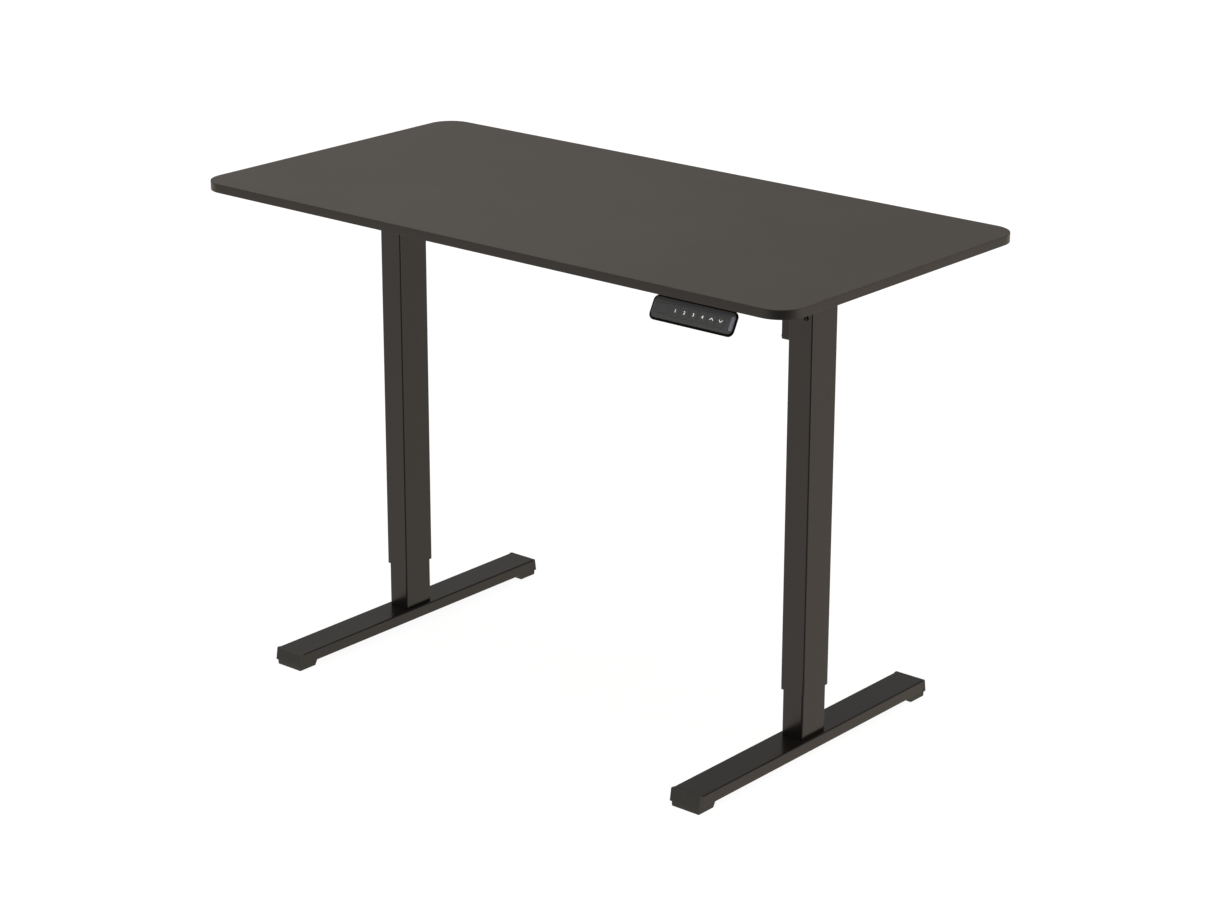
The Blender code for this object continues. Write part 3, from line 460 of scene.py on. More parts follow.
def outline(width, depth, radius, steps, centre=(0.0, 0.0)):
    """The corners' arcs of a rounded rectangle, counter-clockwise."""
    points = []
    for quarter in range(4):
        sx = 1 if quarter in (0, 3) else -1
        sy = 1 if quarter in (0, 1) else -1
        for angle in arc(steps, start=pi / 2 * quarter):
            x = centre[0] + sx * (width / 2 - radius) + radius * cos(angle)
            y = centre[1] + sy * (depth / 2 - radius) + radius * sin(angle)
            points.append((x, y))
    return points


def rolled_edge(level, radius, inward, count=4):
    """Insets and heights from a level face round to the side, with inward +1 from a
    bottom face and -1 from a top one."""
    return [
        (radius * (1 - sin(angle)), level + inward * radius * (1 - cos(angle)))
        for angle in arc(count)
    ]


def block(name, low, high, radius=0.0006, corner=None, steps=3):
    """A box with its upright corners rounded, and its other edges by radius."""
    corner = max(radius * 1.01, corner or radius * 2)
    centre = ((low[0] + high[0]) / 2, (low[1] + high[1]) / 2)
    width, depth = high[0] - low[0], high[1] - low[1]
    section = rolled_edge(low[2], radius, 1, 2)
    section += rolled_edge(high[2], radius, -1, 2)[::-1]
    rings = []
    for inset, z in section:
        points = outline(width - 2 * inset, depth - 2 * inset, corner - inset, steps, centre)
        rings.append([(x, y, z) for x, y in points])
    return rings_mesh(name, rings)


def pointing(place, direction):
    """A frame at place whose Z axis points along direction."""
    turn = Vector(direction).to_track_quat("Z", "X").to_matrix().to_4x4()
    return Matrix.Translation(place) @ turn


def raised(place, height, x=0.0, y=0.0):
    return place @ Matrix.Translation((x, y, height))


def turned_rings(levels, place, steps):
    """Rings round place's own Z axis, from (radius at an angle, height) pairs."""
    angles = [2 * pi * i / steps for i in range(steps)]
    return [
        [place @ Vector((radius(a) * cos(a), radius(a) * sin(a), height)) for a in angles]
        for radius, height in levels
    ]


def evenly(radius):
    return lambda angle: radius


def lathe(name, profile, place, steps=48):
    """Turns (radius, height) points round place's own Z axis."""
    levels = [(evenly(max(radius, 1e-6)), height) for radius, height in profile]
    return rings_mesh(name, turned_rings(levels, place, steps))


def hex_socket(across_flats):
    def radius(angle):
        return across_flats / 2 / cos((angle + pi / 6) % (pi / 3) - pi / 6)

    return radius


def cross_recess(length, width):
    def radius(angle):
        c, s = max(abs(cos(angle)), 1e-9), max(abs(sin(angle)), 1e-9)
        return max(min(length / c, width / s), min(length / s, width / c))

    return radius


HEAD_SWELL = 0.35
RECESS_CHAMFER = 0.00015


def screw(name, place, radius, height, recess, depth, dome, body=UPPER, steps=48):
    """A black screw head standing on place's XY plane, with a recess of any outline. The
    dome is the part of its height that is rounded."""
    profile = [(radius * 0.80, 0.0), (radius * 0.97, 0.0), (radius, height * 0.12)]
    profile.append((radius, height * (1 - dome)))
    for angle in arc(4)[1:]:
        shrunk = radius * (1 - HEAD_SWELL * (1 - cos(angle)))
        profile.append((shrunk, height * (1 - dome + dome * sin(angle))))
    levels = [(evenly(r), h) for r, h in profile]
    bottom = height - depth
    for scale, h in ((1.06, height), (1.0, height - RECESS_CHAMFER), (0.94, bottom)):
        levels.append((lambda angle, scale=scale: scale * recess(angle), h))
    mesh = rings_mesh(name, turned_rings(levels, place, steps))
    return finished(name, mesh, "black_screw", body)


def plain_object(name, data):
    obj = bpy.data.objects.new(name, data)
    bpy.context.scene.collection.objects.link(obj)
    return obj


def baked(obj, *helpers):
    """The object's mesh with its modifiers applied; the object and its helpers are removed."""
    bpy.context.view_layer.update()
    graph = bpy.context.evaluated_depsgraph_get()
    mesh = bpy.data.meshes.new_from_object(obj.evaluated_get(graph))
    for unwanted in (obj, *helpers):
        bpy.data.objects.remove(unwanted)
    return mesh


def boolean(obj, cutter, operation):
    modifier = obj.modifiers.new(operation.lower(), "BOOLEAN")
    modifier.operation = operation
    modifier.object = cutter
    modifier.solver = "EXACT"


def tube_mesh(name, points, radius, resolution=4):
    curve = bpy.data.curves.new(name, "CURVE")
    curve.dimensions = "3D"
    curve.bevel_depth = radius
    curve.bevel_resolution = resolution
    curve.use_fill_caps = True
    spline = curve.splines.new("POLY")
    spline.points.add(len(points) - 1)
    for target, point in zip(spline.points, points):
        target.co = (*point, 1.0)
    return weld(baked(plain_object(name, curve)))


def smooth_route(points, pieces):
    """Points of a Catmull-Rom curve through a route's points, its ends leaving straight."""
    places = [Vector(p) for p in points]
    places = [2 * places[0] - places[1], *places, 2 * places[-1] - places[-2]]
    smooth = []
    for before, start, end, after in zip(places, places[1:], places[2:], places[3:]):
        for step in range(pieces):
            t = step / pieces
            bend = 2 * before - 5 * start + 4 * end - after
            twist = 3 * start - before - 3 * end + after
            smooth.append((2 * start + (end - before) * t + bend * t**2 + twist * t**3) / 2)
    smooth.append(places[-2])
    return smooth


# Desktop: a faced board whose facing rolls over its top edge, and an edge strip below that

STRIP = 0.0010
SEAM = 0.00008
BOARD_CHAMFER = 0.00015
DESK_LOW, DESK_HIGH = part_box("desktop")
DESK_WIDTH = DESK_HIGH.x - DESK_LOW.x
DESK_DEPTH = DESK_HIGH.y - DESK_LOW.y
DESK_CORNER = 0.045
TOP_EDGE_RADIUS, UNDER_EDGE_RADIUS = 0.0009, 0.0005
LIP = 0.0001
FLAT_BORDER = 0.0004  # keeps the shading flat up to where the edge turns
STRIP_RISE = 0.00005
UNDERSIDE = DESK_LOW.z


def desk_ring(inset, z, steps=24):
    points = outline(DESK_WIDTH - 2 * inset, DESK_DEPTH - 2 * inset, DESK_CORNER - inset, steps)
    return [(x, y, z) for x, y in points]


def desktop():
    low, high = DESK_LOW.z, DESK_HIGH.z
    side = STRIP + SEAM
    lip = high - TOP_EDGE_RADIUS - LIP
    board_section = [(side + BOARD_CHAMFER + FLAT_BORDER, low), (side + BOARD_CHAMFER, low)]
    board_section += [(side, low + BOARD_CHAMFER), (side, lip), (0.0, lip)]
    board_section += reversed(rolled_edge(high, TOP_EDGE_RADIUS, -1))
    board_section.append((TOP_EDGE_RADIUS + FLAT_BORDER, high))
    board = rings_mesh("desktop_board", [desk_ring(i, z) for i, z in board_section])
    board = finished("desktop_board", board, "laminate")
    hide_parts("desktop")
    strip_low, strip_high = low + STRIP_RISE, lip - SEAM
    strip_section = [(STRIP, strip_low), *rolled_edge(strip_low, UNDER_EDGE_RADIUS, 1)]
    strip_section += [(0.0, strip_high), (STRIP, strip_high)]
    strip = rings_mesh("desktop_edge_strip", [desk_ring(i, z) for i, z in strip_section], True)
    # The strip's dark colour is painted shade on the desktop's upright edge
    piece("desktop_edge_strip", strip, EDGE_STRIP_PAINTED_SHADE)


desktop()


# Columns: threaded spindles, and the screws in the columns' fronts and under the feet

COLUMN_X = 0.428
THREAD_LEAD, THREAD_STARTS = 0.006, 2
THREAD_ROOT, THREAD_DEPTH = 0.0054, 0.0015
THREAD_FLAT, THREAD_FLANK = 0.17, 0.16  # parts of one turn
THREAD_ROW = 0.00075
SPINDLE_SHOULDER, SHOULDER_RADIUS = 0.7032, 0.0069
JOURNAL_RADIUS = 0.0050
COLUMN_SCREW_HEIGHT = 0.0022
COLUMN_SHANK_RADIUS, COLUMN_SHANK_LENGTH = 0.0019, 0.0118
FOOT_HEAD_Z = 0.0097
FOOT_HEAD_RADIUS, FOOT_HEAD_HEIGHT = 0.0065, 0.0050
FOOT_SHANK_RADIUS = 0.0039
SHANK_ENTRY = 0.0002


def spindle(side, hand):
    """A trapezoidal thread with two starts, cut into the rod between its two plain ends."""

    def thread_radius(angle, z):
        turn = THREAD_STARTS * (z / THREAD_LEAD - hand * angle / (2 * pi)) % 1.0
        rise = (0.5 - abs(turn - 0.5) - THREAD_FLAT) / THREAD_FLANK
        return THREAD_ROOT + THREAD_DEPTH * min(max(rise, 0.0), 1.0)

    low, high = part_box(f"{side}_spindle")
    start = low.z + 0.002
    rows = int((SPINDLE_SHOULDER - start - 0.002) / THREAD_ROW)
    levels = [(evenly(0.0045), low.z), (evenly(0.0055), low.z + 0.0010)]
    for row in range(rows):
        z = start + row * THREAD_ROW
        levels.append((lambda angle, z=z: thread_radius(angle, z), z))
    levels += [
        (evenly(SHOULDER_RADIUS), SPINDLE_SHOULDER - 0.0015),
        (evenly(SHOULDER_RADIUS), SPINDLE_SHOULDER),
        (evenly(JOURNAL_RADIUS), SPINDLE_SHOULDER),
        (evenly(JOURNAL_RADIUS), high.z - 0.0006),
        (evenly(JOURNAL_RADIUS - 0.0006), high.z),
    ]
    place = Matrix.Translation(((low.x + high.x) / 2, 0.0, 0.0))
    name = f"{side}_spindle_threaded"
    mesh = rings_mesh(name, turned_rings(levels, place, 24))
    rod = finished(name, mesh, "steel", f"{side}_spindle_drive", 50.0)
    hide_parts(f"{side}_spindle")


def shank(name, place, radius, length, tip, chamfer, body, steps):
    """A plain rod down from a screw's head, with a chamfered end."""
    profile = [
        (0.0, -length),
        (tip, -length),
        (radius, chamfer - length),
        (radius, SHANK_ENTRY),
        (0.0, SHANK_ENTRY),
    ]
    finished(name, lathe(name, profile, place, steps), "black_screw", body)


def column_screws(side):
    for end in ("inner", "outer"):
        node = f"{side}_gearbox_screw_{end}"
        low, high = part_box(node)
        front = (low.x + high.x) / 2, low.y + COLUMN_SCREW_HEIGHT, (low.z + high.z) / 2
        place = pointing(front, (0, -1, 0))
        radius = (high.x - low.x) / 2
        socket = hex_socket(0.0030)
        head = screw(f"{node}_head", place, radius, COLUMN_SCREW_HEIGHT, socket, 0.0014, 0.35)
        length, tip = COLUMN_SHANK_LENGTH, COLUMN_SHANK_RADIUS - 0.0004
        shank(f"{node}_shank", place, COLUMN_SHANK_RADIUS, length, tip, 0.0006, UPPER, 24)
        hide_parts(node)


def foot_bolts(side):
    body = f"{side}_leg_base"
    for end in ("front", "rear"):
        node = f"{side}_{end}_foot_bolt"
        low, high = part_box(node)
        place = pointing(((low.x + high.x) / 2, (low.y + high.y) / 2, FOOT_HEAD_Z), (0, 0, -1))
        head = screw(
            f"{node}_head", place, FOOT_HEAD_RADIUS, FOOT_HEAD_HEIGHT, hex_socket(0.0050), 0.0030,
            0.2, body,
        )
        length, tip = high.z - FOOT_HEAD_Z, FOOT_SHANK_RADIUS - 0.0007
        shank(f"{node}_shank", place, FOOT_SHANK_RADIUS, length, tip, 0.0008, body, 32)
        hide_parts(node)


for side, sign in SIDES.items():
    spindle(side, -sign)
    column_screws(side)
    foot_bolts(side)


# Side brackets: wood screws up into the board, and bolts to the rails and the column

WEB_FACE = 0.7997
WOOD_SCREW_ROWS = (-0.200, -0.140, -0.095, 0.095, 0.140, 0.200)
WOOD_SCREW_STAGGER = 0.011
RAIL_BOLT_Y, RAIL_BOLT_Z = 0.070, 0.7825
HEAD_BOLT_Y, HEAD_BOLT_Z = 0.019, 0.7855
BRACKET_INSIDE, BRACKET_OUTSIDE = 0.0228, 0.0248
WASHER_RADIUS, WASHER_THICKNESS = 0.0062, 0.0009
WOOD_CROSS = cross_recess(0.0023, 0.0005)
BOLT_SOCKET = hex_socket(0.0040)


def bracket_screws(side, sign):
    x = sign * COLUMN_X
    for number, y in enumerate(WOOD_SCREW_ROWS, start=1):
        stagger = WOOD_SCREW_STAGGER if number % 2 else -WOOD_SCREW_STAGGER
        place = pointing((x + stagger, y, WEB_FACE), (0, 0, -1))
        screw(f"{side}_wood_screw_{number}", place, 0.0042, 0.0024, WOOD_CROSS, 0.0015, 0.7)
    for end, y in (("front", -RAIL_BOLT_Y), ("rear", RAIL_BOLT_Y)):
        place = pointing((x - sign * BRACKET_INSIDE, y, RAIL_BOLT_Z), (sign, 0, 0))
        screw(f"{side}_{end}_rail_bolt", place, 0.0055, 0.0032, BOLT_SOCKET, 0.0022, 0.6)
    disc = [(0.0, 0.0), (WASHER_RADIUS, 0.0)]
    disc += [(radius, WASHER_THICKNESS) for radius, z in reversed(disc)]
    for face, outward in (("inner", -sign), ("outer", sign)):
        for end, y in (("front", -HEAD_BOLT_Y), ("rear", HEAD_BOLT_Y)):
            name = f"{side}_{face}_{end}_head_bolt"
            wall = x + outward * BRACKET_OUTSIDE
            place = pointing((wall, y, HEAD_BOLT_Z), (outward, 0, 0))
            washer = lathe(f"{name}_washer", disc, place)
            finished(f"{name}_washer", washer, "black_screw")
            place = raised(place, WASHER_THICKNESS)
            screw(name, place, 0.0050, 0.0028, BOLT_SOCKET, 0.0018, 0.6)


for side, sign in SIDES.items():
    bracket_screws(side, sign)


# Motor and gear housing

MOTOR_GROOVE = 0.0116  # from the motor's end
MOTOR_SCREW_CIRCLE = 0.0102
HOUSING_SCREW_Y, HOUSING_SCREW_INSET = 0.0235, 0.0045
HOUSING_RIB_PITCH = 0.0095
HOUSING_RIB_LOW, HOUSING_RIB_HIGH = 0.7600, 0.7665


def motor():
    low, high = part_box("motor_can")
    place = pointing((high.x, 0.0, (low.z + high.z) / 2), (-1, 0, 0))
    radius, length = (high.z - low.z) / 2, high.x - low.x
    profile = [
        (0.0030, 0.0),
        (radius - 0.0022, 0.0),
        (radius - 0.0006, 0.0006),
        (radius, 0.0022),
        (radius, length - MOTOR_GROOVE - 0.0014),
        (radius - 0.0005, length - MOTOR_GROOVE - 0.0008),
        (radius - 0.0005, length - MOTOR_GROOVE),
        (radius, length - MOTOR_GROOVE + 0.0006),
        (radius, length - 0.0102),
        (radius - 0.0012, length - 0.0098),
        (radius - 0.0012, length - 0.0016),
        (radius - 0.0020, length - 0.0004),
        (radius - 0.0034, length),
        (0.0070, length),
        (0.0066, length - 0.0006),
        (0.0, length - 0.0006),
    ]
    can = piece("motor_body", lathe("motor_body", profile, place, 72), ROTOR_BLACK)
    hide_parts("motor_can")
    grommet = [
        (0.0, -0.0010),
        (0.0046, -0.0010),
        (0.0046, 0.0006),
        (0.0037, 0.0014),
        (0.0028, 0.0060),
        (0.0, 0.0060),
    ]
    end = raised(place, length - 0.0006)
    finished("motor_grommet", lathe("motor_grommet", grommet, end), "cable_jacket")
    recess = cross_recess(0.0011, 0.00025)
    for number, angle in enumerate((radians(40), radians(220)), start=1):
        x, y = MOTOR_SCREW_CIRCLE * cos(angle), MOTOR_SCREW_CIRCLE * sin(angle)
        spot = raised(end, 0.0004, x, y)
        screw(f"motor_end_screw_{number}", spot, 0.0019, 0.0011, recess, 0.0007, 0.6)


def housing_details():
    low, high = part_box("gear_housing")
    recess = cross_recess(0.0018, 0.0004)
    number = 0
    for z in (low.z + HOUSING_SCREW_INSET, high.z - HOUSING_SCREW_INSET):
        for y in (-HOUSING_SCREW_Y, HOUSING_SCREW_Y):
            number += 1
            place = pointing((low.x, y, z), (-1, 0, 0))
            screw(f"housing_screw_{number}", place, 0.0030, 0.0016, recess, 0.0010, 0.7)
    for number in range(5):
        y = HOUSING_RIB_PITCH * (number - 2)
        name = f"housing_rib_{number + 1}"
        corner = (low.x - 0.0008, y - 0.0006, HOUSING_RIB_LOW)
        opposite = (low.x + 0.0002, y + 0.0006, HOUSING_RIB_HIGH)
        finished(name, block(name, corner, opposite, 0.0003), "black_plastic")


motor()
housing_details()


# Control box: ribs, ears, plugs and inlet pins

BOX_RIBS, BOX_RIB_PITCH, BOX_RIB_START = 11, 0.0140, 0.030
BOX_RIB_END = 0.014
EAR_LENGTH, EAR_HALF_WIDTH, EAR_THICKNESS = 0.0130, 0.0065, 0.0030
EAR_Y, EAR_SCREW = 0.0080, 0.0070
LEAD_Z = 0.7845
PLUG_LENGTH, PLUG_HALF_HEIGHT = 0.0105, 0.0052
PLUGS = (("motor_plug", 0.118, 0.0062), ("handset_plug", 0.150, 0.0056))
PLUG_BOOT = [(0.0, 0.0), (0.0044, 0.0), (0.0040, 0.0016), (0.0031, 0.0075), (0.0, 0.0075)]
INLET_PINS = (
    ("live_pin", -0.0070, -0.0016),
    ("earth_pin", 0.0, 0.0024),
    ("neutral_pin", 0.0070, -0.0016),
)


def box_ribs(low, high):
    for number in range(BOX_RIBS):
        x = low.x + BOX_RIB_START + BOX_RIB_PITCH * number
        name = f"box_rib_{number + 1}"
        corner = (x - 0.0012, low.y + BOX_RIB_END, low.z - 0.0008)
        opposite = (x + 0.0012, high.y - BOX_RIB_END, low.z + 0.0004)
        finished(name, block(name, corner, opposite, 0.0004), "black_plastic")


def box_ears(low, high):
    for end, x, outward in (("left", low.x, -1), ("right", high.x, 1)):
        for place, y in (("front", low.y + EAR_Y), ("rear", high.y - EAR_Y)):
            name = f"box_ear_{end}_{place}"
            near, far = sorted((x - outward * 0.0004, x + outward * EAR_LENGTH))
            corner = (near, y - EAR_HALF_WIDTH, high.z - EAR_THICKNESS)
            opposite = (far, y + EAR_HALF_WIDTH, high.z)
            finished(name, block(name, corner, opposite, 0.0005, 0.0030), "black_plastic")
            spot = (x + outward * EAR_SCREW, y, high.z - EAR_THICKNESS)
            spot = pointing(spot, (0, 0, -1))
            screw(f"box_screw_{end}_{place}", spot, 0.0038, 0.0022, WOOD_CROSS, 0.0013, 0.7)


def box_plugs(high):
    for name, y, half in PLUGS:
        corner = (high.x - 0.0002, y - half, LEAD_Z - PLUG_HALF_HEIGHT)
        opposite = (high.x + PLUG_LENGTH, y + half, LEAD_Z + PLUG_HALF_HEIGHT)
        finished(name, block(name, corner, opposite, 0.0006, 0.0012), "black_plastic")
        boot = f"{name}_boot"
        spot = pointing((high.x + PLUG_LENGTH - 0.0001, y, LEAD_Z), (1, 0, 0))
        finished(boot, lathe(boot, PLUG_BOOT, spot, 32), "cable_jacket")


def inlet_pins():
    low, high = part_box("mains_inlet")
    y, z = (low.y + high.y) / 2, (low.z + high.z) / 2
    for name, dy, dz in INLET_PINS:
        corner = (low.x + 0.0045, y + dy - 0.0010, z + dz - 0.0020)
        opposite = (high.x - 0.0025, y + dy + 0.0010, z + dz + 0.0020)
        finished(name, block(name, corner, opposite, 0.0003), "steel")


BOX_LOW, BOX_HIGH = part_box("control_box_case")
box_ribs(BOX_LOW, BOX_HIGH)
box_ears(BOX_LOW, BOX_HIGH)
box_plugs(BOX_HIGH)
inlet_pins()


# Circuit board: each part's place from the board's corner, its size and its edges' radius

BOARD_PARTS = [
    ("board_relay_1", (0.030, 0.012), (0.019, 0.015, 0.0150), 0.0005, "black_plastic"),
    ("board_relay_2", (0.030, 0.034), (0.019, 0.015, 0.0150), 0.0005, "black_plastic"),
    ("board_transformer", (0.062, 0.022), (0.026, 0.028, 0.0190), 0.0010, "black_plastic"),
    ("board_controller", (0.104, 0.026), (0.012, 0.012, 0.0016), 0.0003, "black_plastic"),
    ("board_driver", (0.128, 0.020), (0.010, 0.014, 0.0020), 0.0003, "black_plastic"),
    ("board_heat_sink", (0.128, 0.048), (0.028, 0.012, 0.0180), 0.0004, "die_cast"),
]
# Place from the board's corner, radius and height
CAPACITORS = [
    ((0.086, 0.014), 0.0063, 0.0190),
    ((0.086, 0.040), 0.0063, 0.0190),
    ((0.104, 0.052), 0.0040, 0.0110),
]
BOARD_GAP = 0.0001


def capacitor(name, place, radius, height):
    profile = [
        (0.0, 0.0),
        (radius * 0.96, 0.0),
        (radius, 0.0006),
        (radius * 0.93, 0.0018),
        (radius, 0.0030),
        (radius, height - 0.0006),
        (radius * 0.92, height),
        (radius * 0.7, height - 0.0003),
        (0.0, height - 0.0003),
    ]
    piece(name, lathe(name, profile, place, 36), ROTOR_BLACK)


def board_components():
    low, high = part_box("control_board")
    base = high.z + BOARD_GAP
    for name, (dx, dy), (width, depth, height), radius, slot in BOARD_PARTS:
        x, y = low.x + dx, low.y + dy
        corner = (x - width / 2, y - depth / 2, base)
        opposite = (x + width / 2, y + depth / 2, high.z + height)
        finished(name, block(name, corner, opposite, radius), slot)
    for number, ((dx, dy), radius, height) in enumerate(CAPACITORS, start=1):
        place = pointing((low.x + dx, low.y + dy, base), (0, 0, 1))
        capacitor(f"board_capacitor_{number}", place, radius, height)


board_components()


# Leads and their clips

MOTOR_LEAD_RADIUS, HANDSET_LEAD_RADIUS = 0.0025, 0.0020
MOTOR_LEAD_ROUTE = [
    (0.3186, 0.000, 0.7175),
    (0.3090, 0.000, 0.7175),
    (0.2930, 0.008, 0.7250),
    (0.2840, 0.022, 0.7550),
    (0.2800, 0.038, 0.7860),
    (0.2760, 0.058, 0.7978),
    (0.2690, 0.085, 0.7976),
    (0.2600, 0.105, 0.7925),
    (0.2450, 0.117, 0.7860),
    (0.2310, 0.118, 0.7845),
    (0.2203, 0.118, 0.7845),
]
HANDSET_LEAD_ROUTE = [
    (0.3850, -0.2246, 0.7958),
    (0.3850, -0.2150, 0.7958),
    (0.3810, -0.1950, 0.7982),
    (0.3640, -0.1550, 0.7988),
    (0.3350, -0.1150, 0.7988),
    (0.3110, -0.0700, 0.7984),
    (0.3000, -0.0100, 0.7984),
    (0.2930, 0.0450, 0.7984),
    (0.2900, 0.0900, 0.7980),
    (0.2780, 0.1300, 0.7930),
    (0.2500, 0.1490, 0.7865),
    (0.2310, 0.1500, 0.7845),
    (0.2203, 0.1500, 0.7845),
]
ROUTE_PIECES = 6
CLIP_WALL, CLIP_SLACK = 0.0012, 0.0002
CLIP_HALF_WIDTH = 0.0035
TAB_LENGTH, TAB_THICKNESS, TAB_SCREW = 0.0080, 0.0012, 0.0044


def clip(name, centre, direction, radius):
    """A saddle under the desktop round a lead, with a tab and a screw at one side."""
    along = Vector((direction[0], direction[1], 0.0)).normalized()
    across = Vector((-along.y, along.x, 0.0))
    top = UNDERSIDE - 0.0002 - centre[2]
    outer, inner = radius + CLIP_WALL, radius + CLIP_SLACK
    below = arc(12, pi, pi)
    shape = [(-inner, top), (-outer, top)]
    shape += [(outer * cos(a), outer * sin(a)) for a in below]
    shape += [(outer, top - TAB_THICKNESS), (outer + TAB_LENGTH, top - TAB_THICKNESS)]
    shape += [(outer + TAB_LENGTH, top), (inner, top)]
    shape += [(inner * cos(a), inner * sin(a)) for a in reversed(below)]
    rings = [
        [Vector(centre) + across * u + Vector((0, 0, v)) + along * shift for u, v in shape]
        for shift in (-CLIP_HALF_WIDTH, CLIP_HALF_WIDTH)
    ]
    saddle = finished(name, rings_mesh(name, rings), "black_plastic")
    soften(saddle, 0.0002, 1)
    down = Vector((0, 0, top - TAB_THICKNESS))
    spot = pointing(Vector(centre) + across * (outer + TAB_SCREW) + down, (0, 0, -1))
    screw(f"{name}_screw", spot, 0.0026, 0.0015, cross_recess(0.0015, 0.00035), 0.0009, 0.7)


def lead(node, route, radius, clip_steps):
    points = smooth_route(route, ROUTE_PIECES)
    name = f"{node}_jacket"
    jacket = finished(name, tube_mesh(name, points, radius), "cable_jacket")
    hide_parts(node)
    for number, step in enumerate(clip_steps, start=1):
        along = points[step + 1] - points[step - 1]
        clip(f"{node}_clip_{number}", points[step], along, radius)


lead("motor_lead", MOTOR_LEAD_ROUTE, MOTOR_LEAD_RADIUS, (34,))
lead("handset_lead", HANDSET_LEAD_ROUTE, HANDSET_LEAD_RADIUS, (18, 27, 39))


# Handset: sizes on its face are across and up it, from the middle of the key line

HANDSET_LEFT, HANDSET_RIGHT = 0.3582, 0.5119
LOW_EDGE, HIGH_EDGE = (-0.3110, 0.76707), (-0.2930, 0.8005)
KEY_LINE_DROP = 0.01846
CORNER = 0.0097
BEZEL_THICKNESS = 0.0034
BEZEL_BACK_ROLL, BEZEL_FRONT_ROLL = 0.0011, 0.0009
BODY_CENTRE, BODY_SIZE, BODY_CORNER = (-0.00155, 0.0), (0.1406, 0.0320), 0.006
BODY_DEPTH, BODY_ROLL = 0.0100, 0.0022
WELL_SIZE, WELL_CORNER, WELL_DEPTH = (0.1356, 0.0270), 0.0030, 0.0085
PANEL_SIZE, PANEL_CORNER, PANEL_THICKNESS = (0.1488, 0.0318), 0.0072, 0.0022
PANEL_GAP = 0.0003
CUTTER_TOP = 0.01
KEY_PITCH, FIRST_KEY_X = 0.01652, -0.03255
FOOT_SIDES, FOOT_SPAN, FOOT_FRONT = (0.3720, 0.4440), (-0.0055, 0.0145), -0.2850
FOOT_BITE = 0.0007
TAIL = (-0.225, 0.7895)
FRAME_TOP = UNDERSIDE - 0.0003
# What each key says, and the mark's width and height
KEY_MARKS = [
    ("1", 0.002, 0.0048),
    ("2", 0.003, 0.0048),
    ("3", 0.003, 0.0048),
    ("4", 0.003, 0.0048),
    ("up", 0.0066, 0.0032),
    ("down", 0.0066, 0.0032),
]
ARROW_STROKE = 0.00095
INK_THICKNESS, INK_LIFT = 0.00004, 0.00002
HANDSET_SCREW_X = {"left": 0.3840, "right": 0.4320}
HANDSET_SCREW_PLACE = 0.74
LEAD_EXIT = (0.3850, 0.7958)


def face_frame():
    """The handset face's own frame: +X along the face, +Y up it and +Z out of it."""
    low, high = Vector((0, *LOW_EDGE)), Vector((0, *HIGH_EDGE))
    tilt = atan2(high.z - low.z, high.y - low.y)
    middle = high + (low - high).normalized() * KEY_LINE_DROP
    middle.x = (HANDSET_LEFT + HANDSET_RIGHT) / 2
    return Matrix.Translation(middle) @ Matrix.Rotation(tilt, 4, "X")


FACE = face_frame()


def face_slab(name, size, corner, centre, low, high, low_roll=0.0, high_roll=0.0):
    """A rounded slab in the face's frame; its back and front edges are rolled over."""
    section = rolled_edge(low, low_roll, 1, 5) if low_roll else [(0.0, low)]
    section += rolled_edge(high, high_roll, -1, 5)[::-1] if high_roll else [(0.0, high)]
    rings = []
    for inset, z in section:
        points = outline(size[0] - 2 * inset, size[1] - 2 * inset, corner - inset, 8, centre)
        rings.append([FACE @ Vector((x, y, z)) for x, y in points])
    return plain_object(name, rings_mesh(name, rings))


def handset_foot():
    low, high = (FACE @ Vector((0.0, up, FOOT_BITE - BODY_DEPTH)) for up in FOOT_SPAN)
    section = [low.yz, high.yz, (FOOT_FRONT, FRAME_TOP), (TAIL[0], FRAME_TOP), TAIL]
    rings = [[(x, y, z) for y, z in section] for x in FOOT_SIDES]
    foot = plain_object("foot", rings_mesh("foot", rings))
    soften(foot, 0.0012, 4)
    return plain_object("foot_rolled", baked(foot))


def handset_shell():
    """The bezel and the body behind it with rolled edges, the foot, and the stepped pocket
    for the face plate."""
    face_height = Vector((HIGH_EDGE[0] - LOW_EDGE[0], HIGH_EDGE[1] - LOW_EDGE[1])).length
    face_size = (HANDSET_RIGHT - HANDSET_LEFT, face_height)
    centre = (0, KEY_LINE_DROP - face_height / 2)
    shell = face_slab(
        "shell", face_size, CORNER, centre, -BEZEL_THICKNESS, 0.0, BEZEL_BACK_ROLL,
        BEZEL_FRONT_ROLL,
    )
    body = face_slab(
        "body", BODY_SIZE, BODY_CORNER, BODY_CENTRE, -BODY_DEPTH, -0.002, BODY_ROLL
    )
    pocket_size = [length + 2 * PANEL_GAP for length in PANEL_SIZE]
    pocket_floor = -PANEL_THICKNESS - PANEL_GAP
    pocket = face_slab(
        "pocket", pocket_size, PANEL_CORNER + PANEL_GAP, (0, 0), pocket_floor, CUTTER_TOP
    )
    well = face_slab("well", WELL_SIZE, WELL_CORNER, BODY_CENTRE, -WELL_DEPTH, CUTTER_TOP)
    foot = handset_foot()
    for other in (body, foot):
        boolean(shell, other, "UNION")
    for cutter in (pocket, well):
        boolean(shell, cutter, "DIFFERENCE")
    mesh = baked(shell, body, foot, pocket, well)
    mesh.name = "handset_shell"
    obj = piece("handset_shell", mesh, HANDSET_RIM, UPPER, 40.0)
    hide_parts("handset_case")


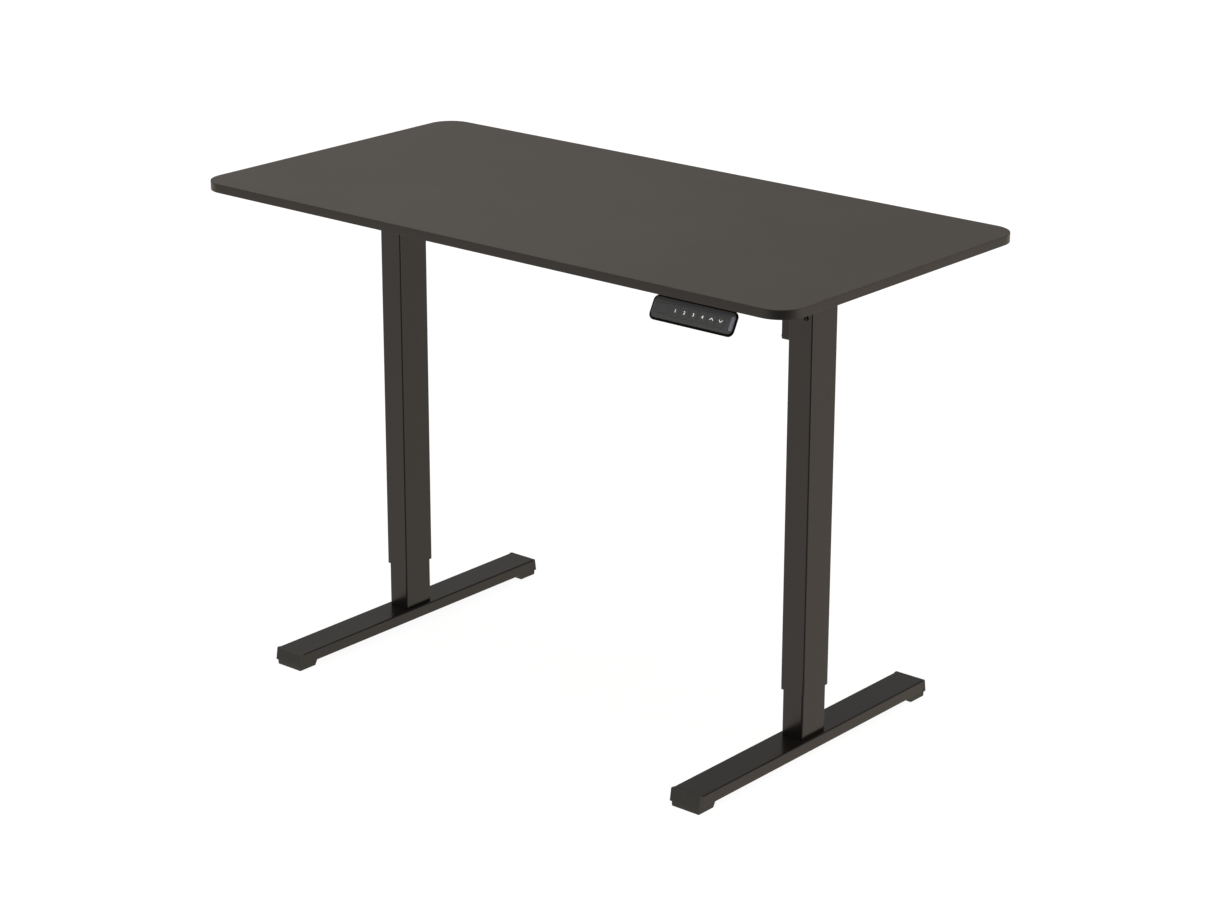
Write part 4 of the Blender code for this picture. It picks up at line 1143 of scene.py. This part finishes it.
def arrow_mesh(name, sign, width, height):
    """A chevron, pointing up where sign is 1 and down where it is -1."""
    half = width / 2
    drop = ARROW_STROKE / 2 / Vector((half, height)).normalized().x
    corners = [(-half, -sign * height / 2), (0.0, sign * height / 2), (half, -sign * height / 2)]
    vertices = [(x, y + side, 0.0) for x, y in corners for side in (-drop, drop)]
    vertices += [(x, y, INK_THICKNESS) for x, y, z in vertices]
    faces = [(0, 1, 7, 6), (4, 10, 11, 5)]
    for a in (0, 2):
        faces += [(a, a + 2, a + 3, a + 1), (a + 6, a + 7, a + 9, a + 8)]
        faces += [(a, a + 6, a + 8, a + 2), (a + 1, a + 3, a + 9, a + 7)]
    return mesh_of(name, vertices, faces)


def numeral_mesh(name, text, height):
    curve = bpy.data.curves.new(name, "FONT")
    curve.body = text
    curve.align_x, curve.align_y = "CENTER", "CENTER"
    curve.size = height * 1.38
    curve.extrude = INK_THICKNESS
    curve.offset = 0.00012
    curve.resolution_u = 4
    mesh = baked(plain_object("numeral", curve))
    xs = [v.co.x for v in mesh.vertices]
    ys = [v.co.y for v in mesh.vertices]
    middle = Vector(((min(xs) + max(xs)) / 2, (min(ys) + max(ys)) / 2, 0.0))
    mesh.transform(Matrix.Translation(-middle))
    return weld(mesh)


def key_mark(number, text, width, height):
    """A numeral or an arrow, printed on a key; its white ink has a painted glow."""
    name = f"key_glyph_{number}"
    if text in ("up", "down"):
        mesh = arrow_mesh(name, 1 if text == "up" else -1, width, height)
    else:
        mesh = numeral_mesh(name, text, height)
    x = FIRST_KEY_X + (number - 1) * KEY_PITCH
    mesh.transform(raised(FACE, INK_LIFT, x))
    piece(name, mesh, GLYPH_INK_PAINTED_GLOW, f"key_{number}")


def handset_screws():
    low = FACE @ Vector((0.0, FOOT_SPAN[0], FOOT_BITE - BODY_DEPTH))
    slope = Vector((0, TAIL[0] - low.y, TAIL[1] - low.z))
    outward = Vector((0, slope.z, -slope.y)).normalized()
    for end, x in HANDSET_SCREW_X.items():
        spot = Vector((x, low.y, low.z)) + slope * HANDSET_SCREW_PLACE
        place = pointing(spot, outward)
        screw(f"handset_screw_{end}", place, 0.0036, 0.0016, WOOD_CROSS, 0.0011, 0.7)


def handset_boot():
    profile = [(0.0, -0.0010), (0.0042, -0.0010), (0.0040, 0.0010), (0.0026, 0.0080), (0.0, 0.0080)]
    spot = pointing((LEAD_EXIT[0], TAIL[0], LEAD_EXIT[1]), (0, 1, 0))
    finished("handset_boot", lathe("handset_boot", profile, spot, 32), "cable_jacket")


handset_shell()
for number, (text, width, height) in enumerate(KEY_MARKS, start=1):
    key_mark(number, text, width, height)
handset_screws()
handset_boot()
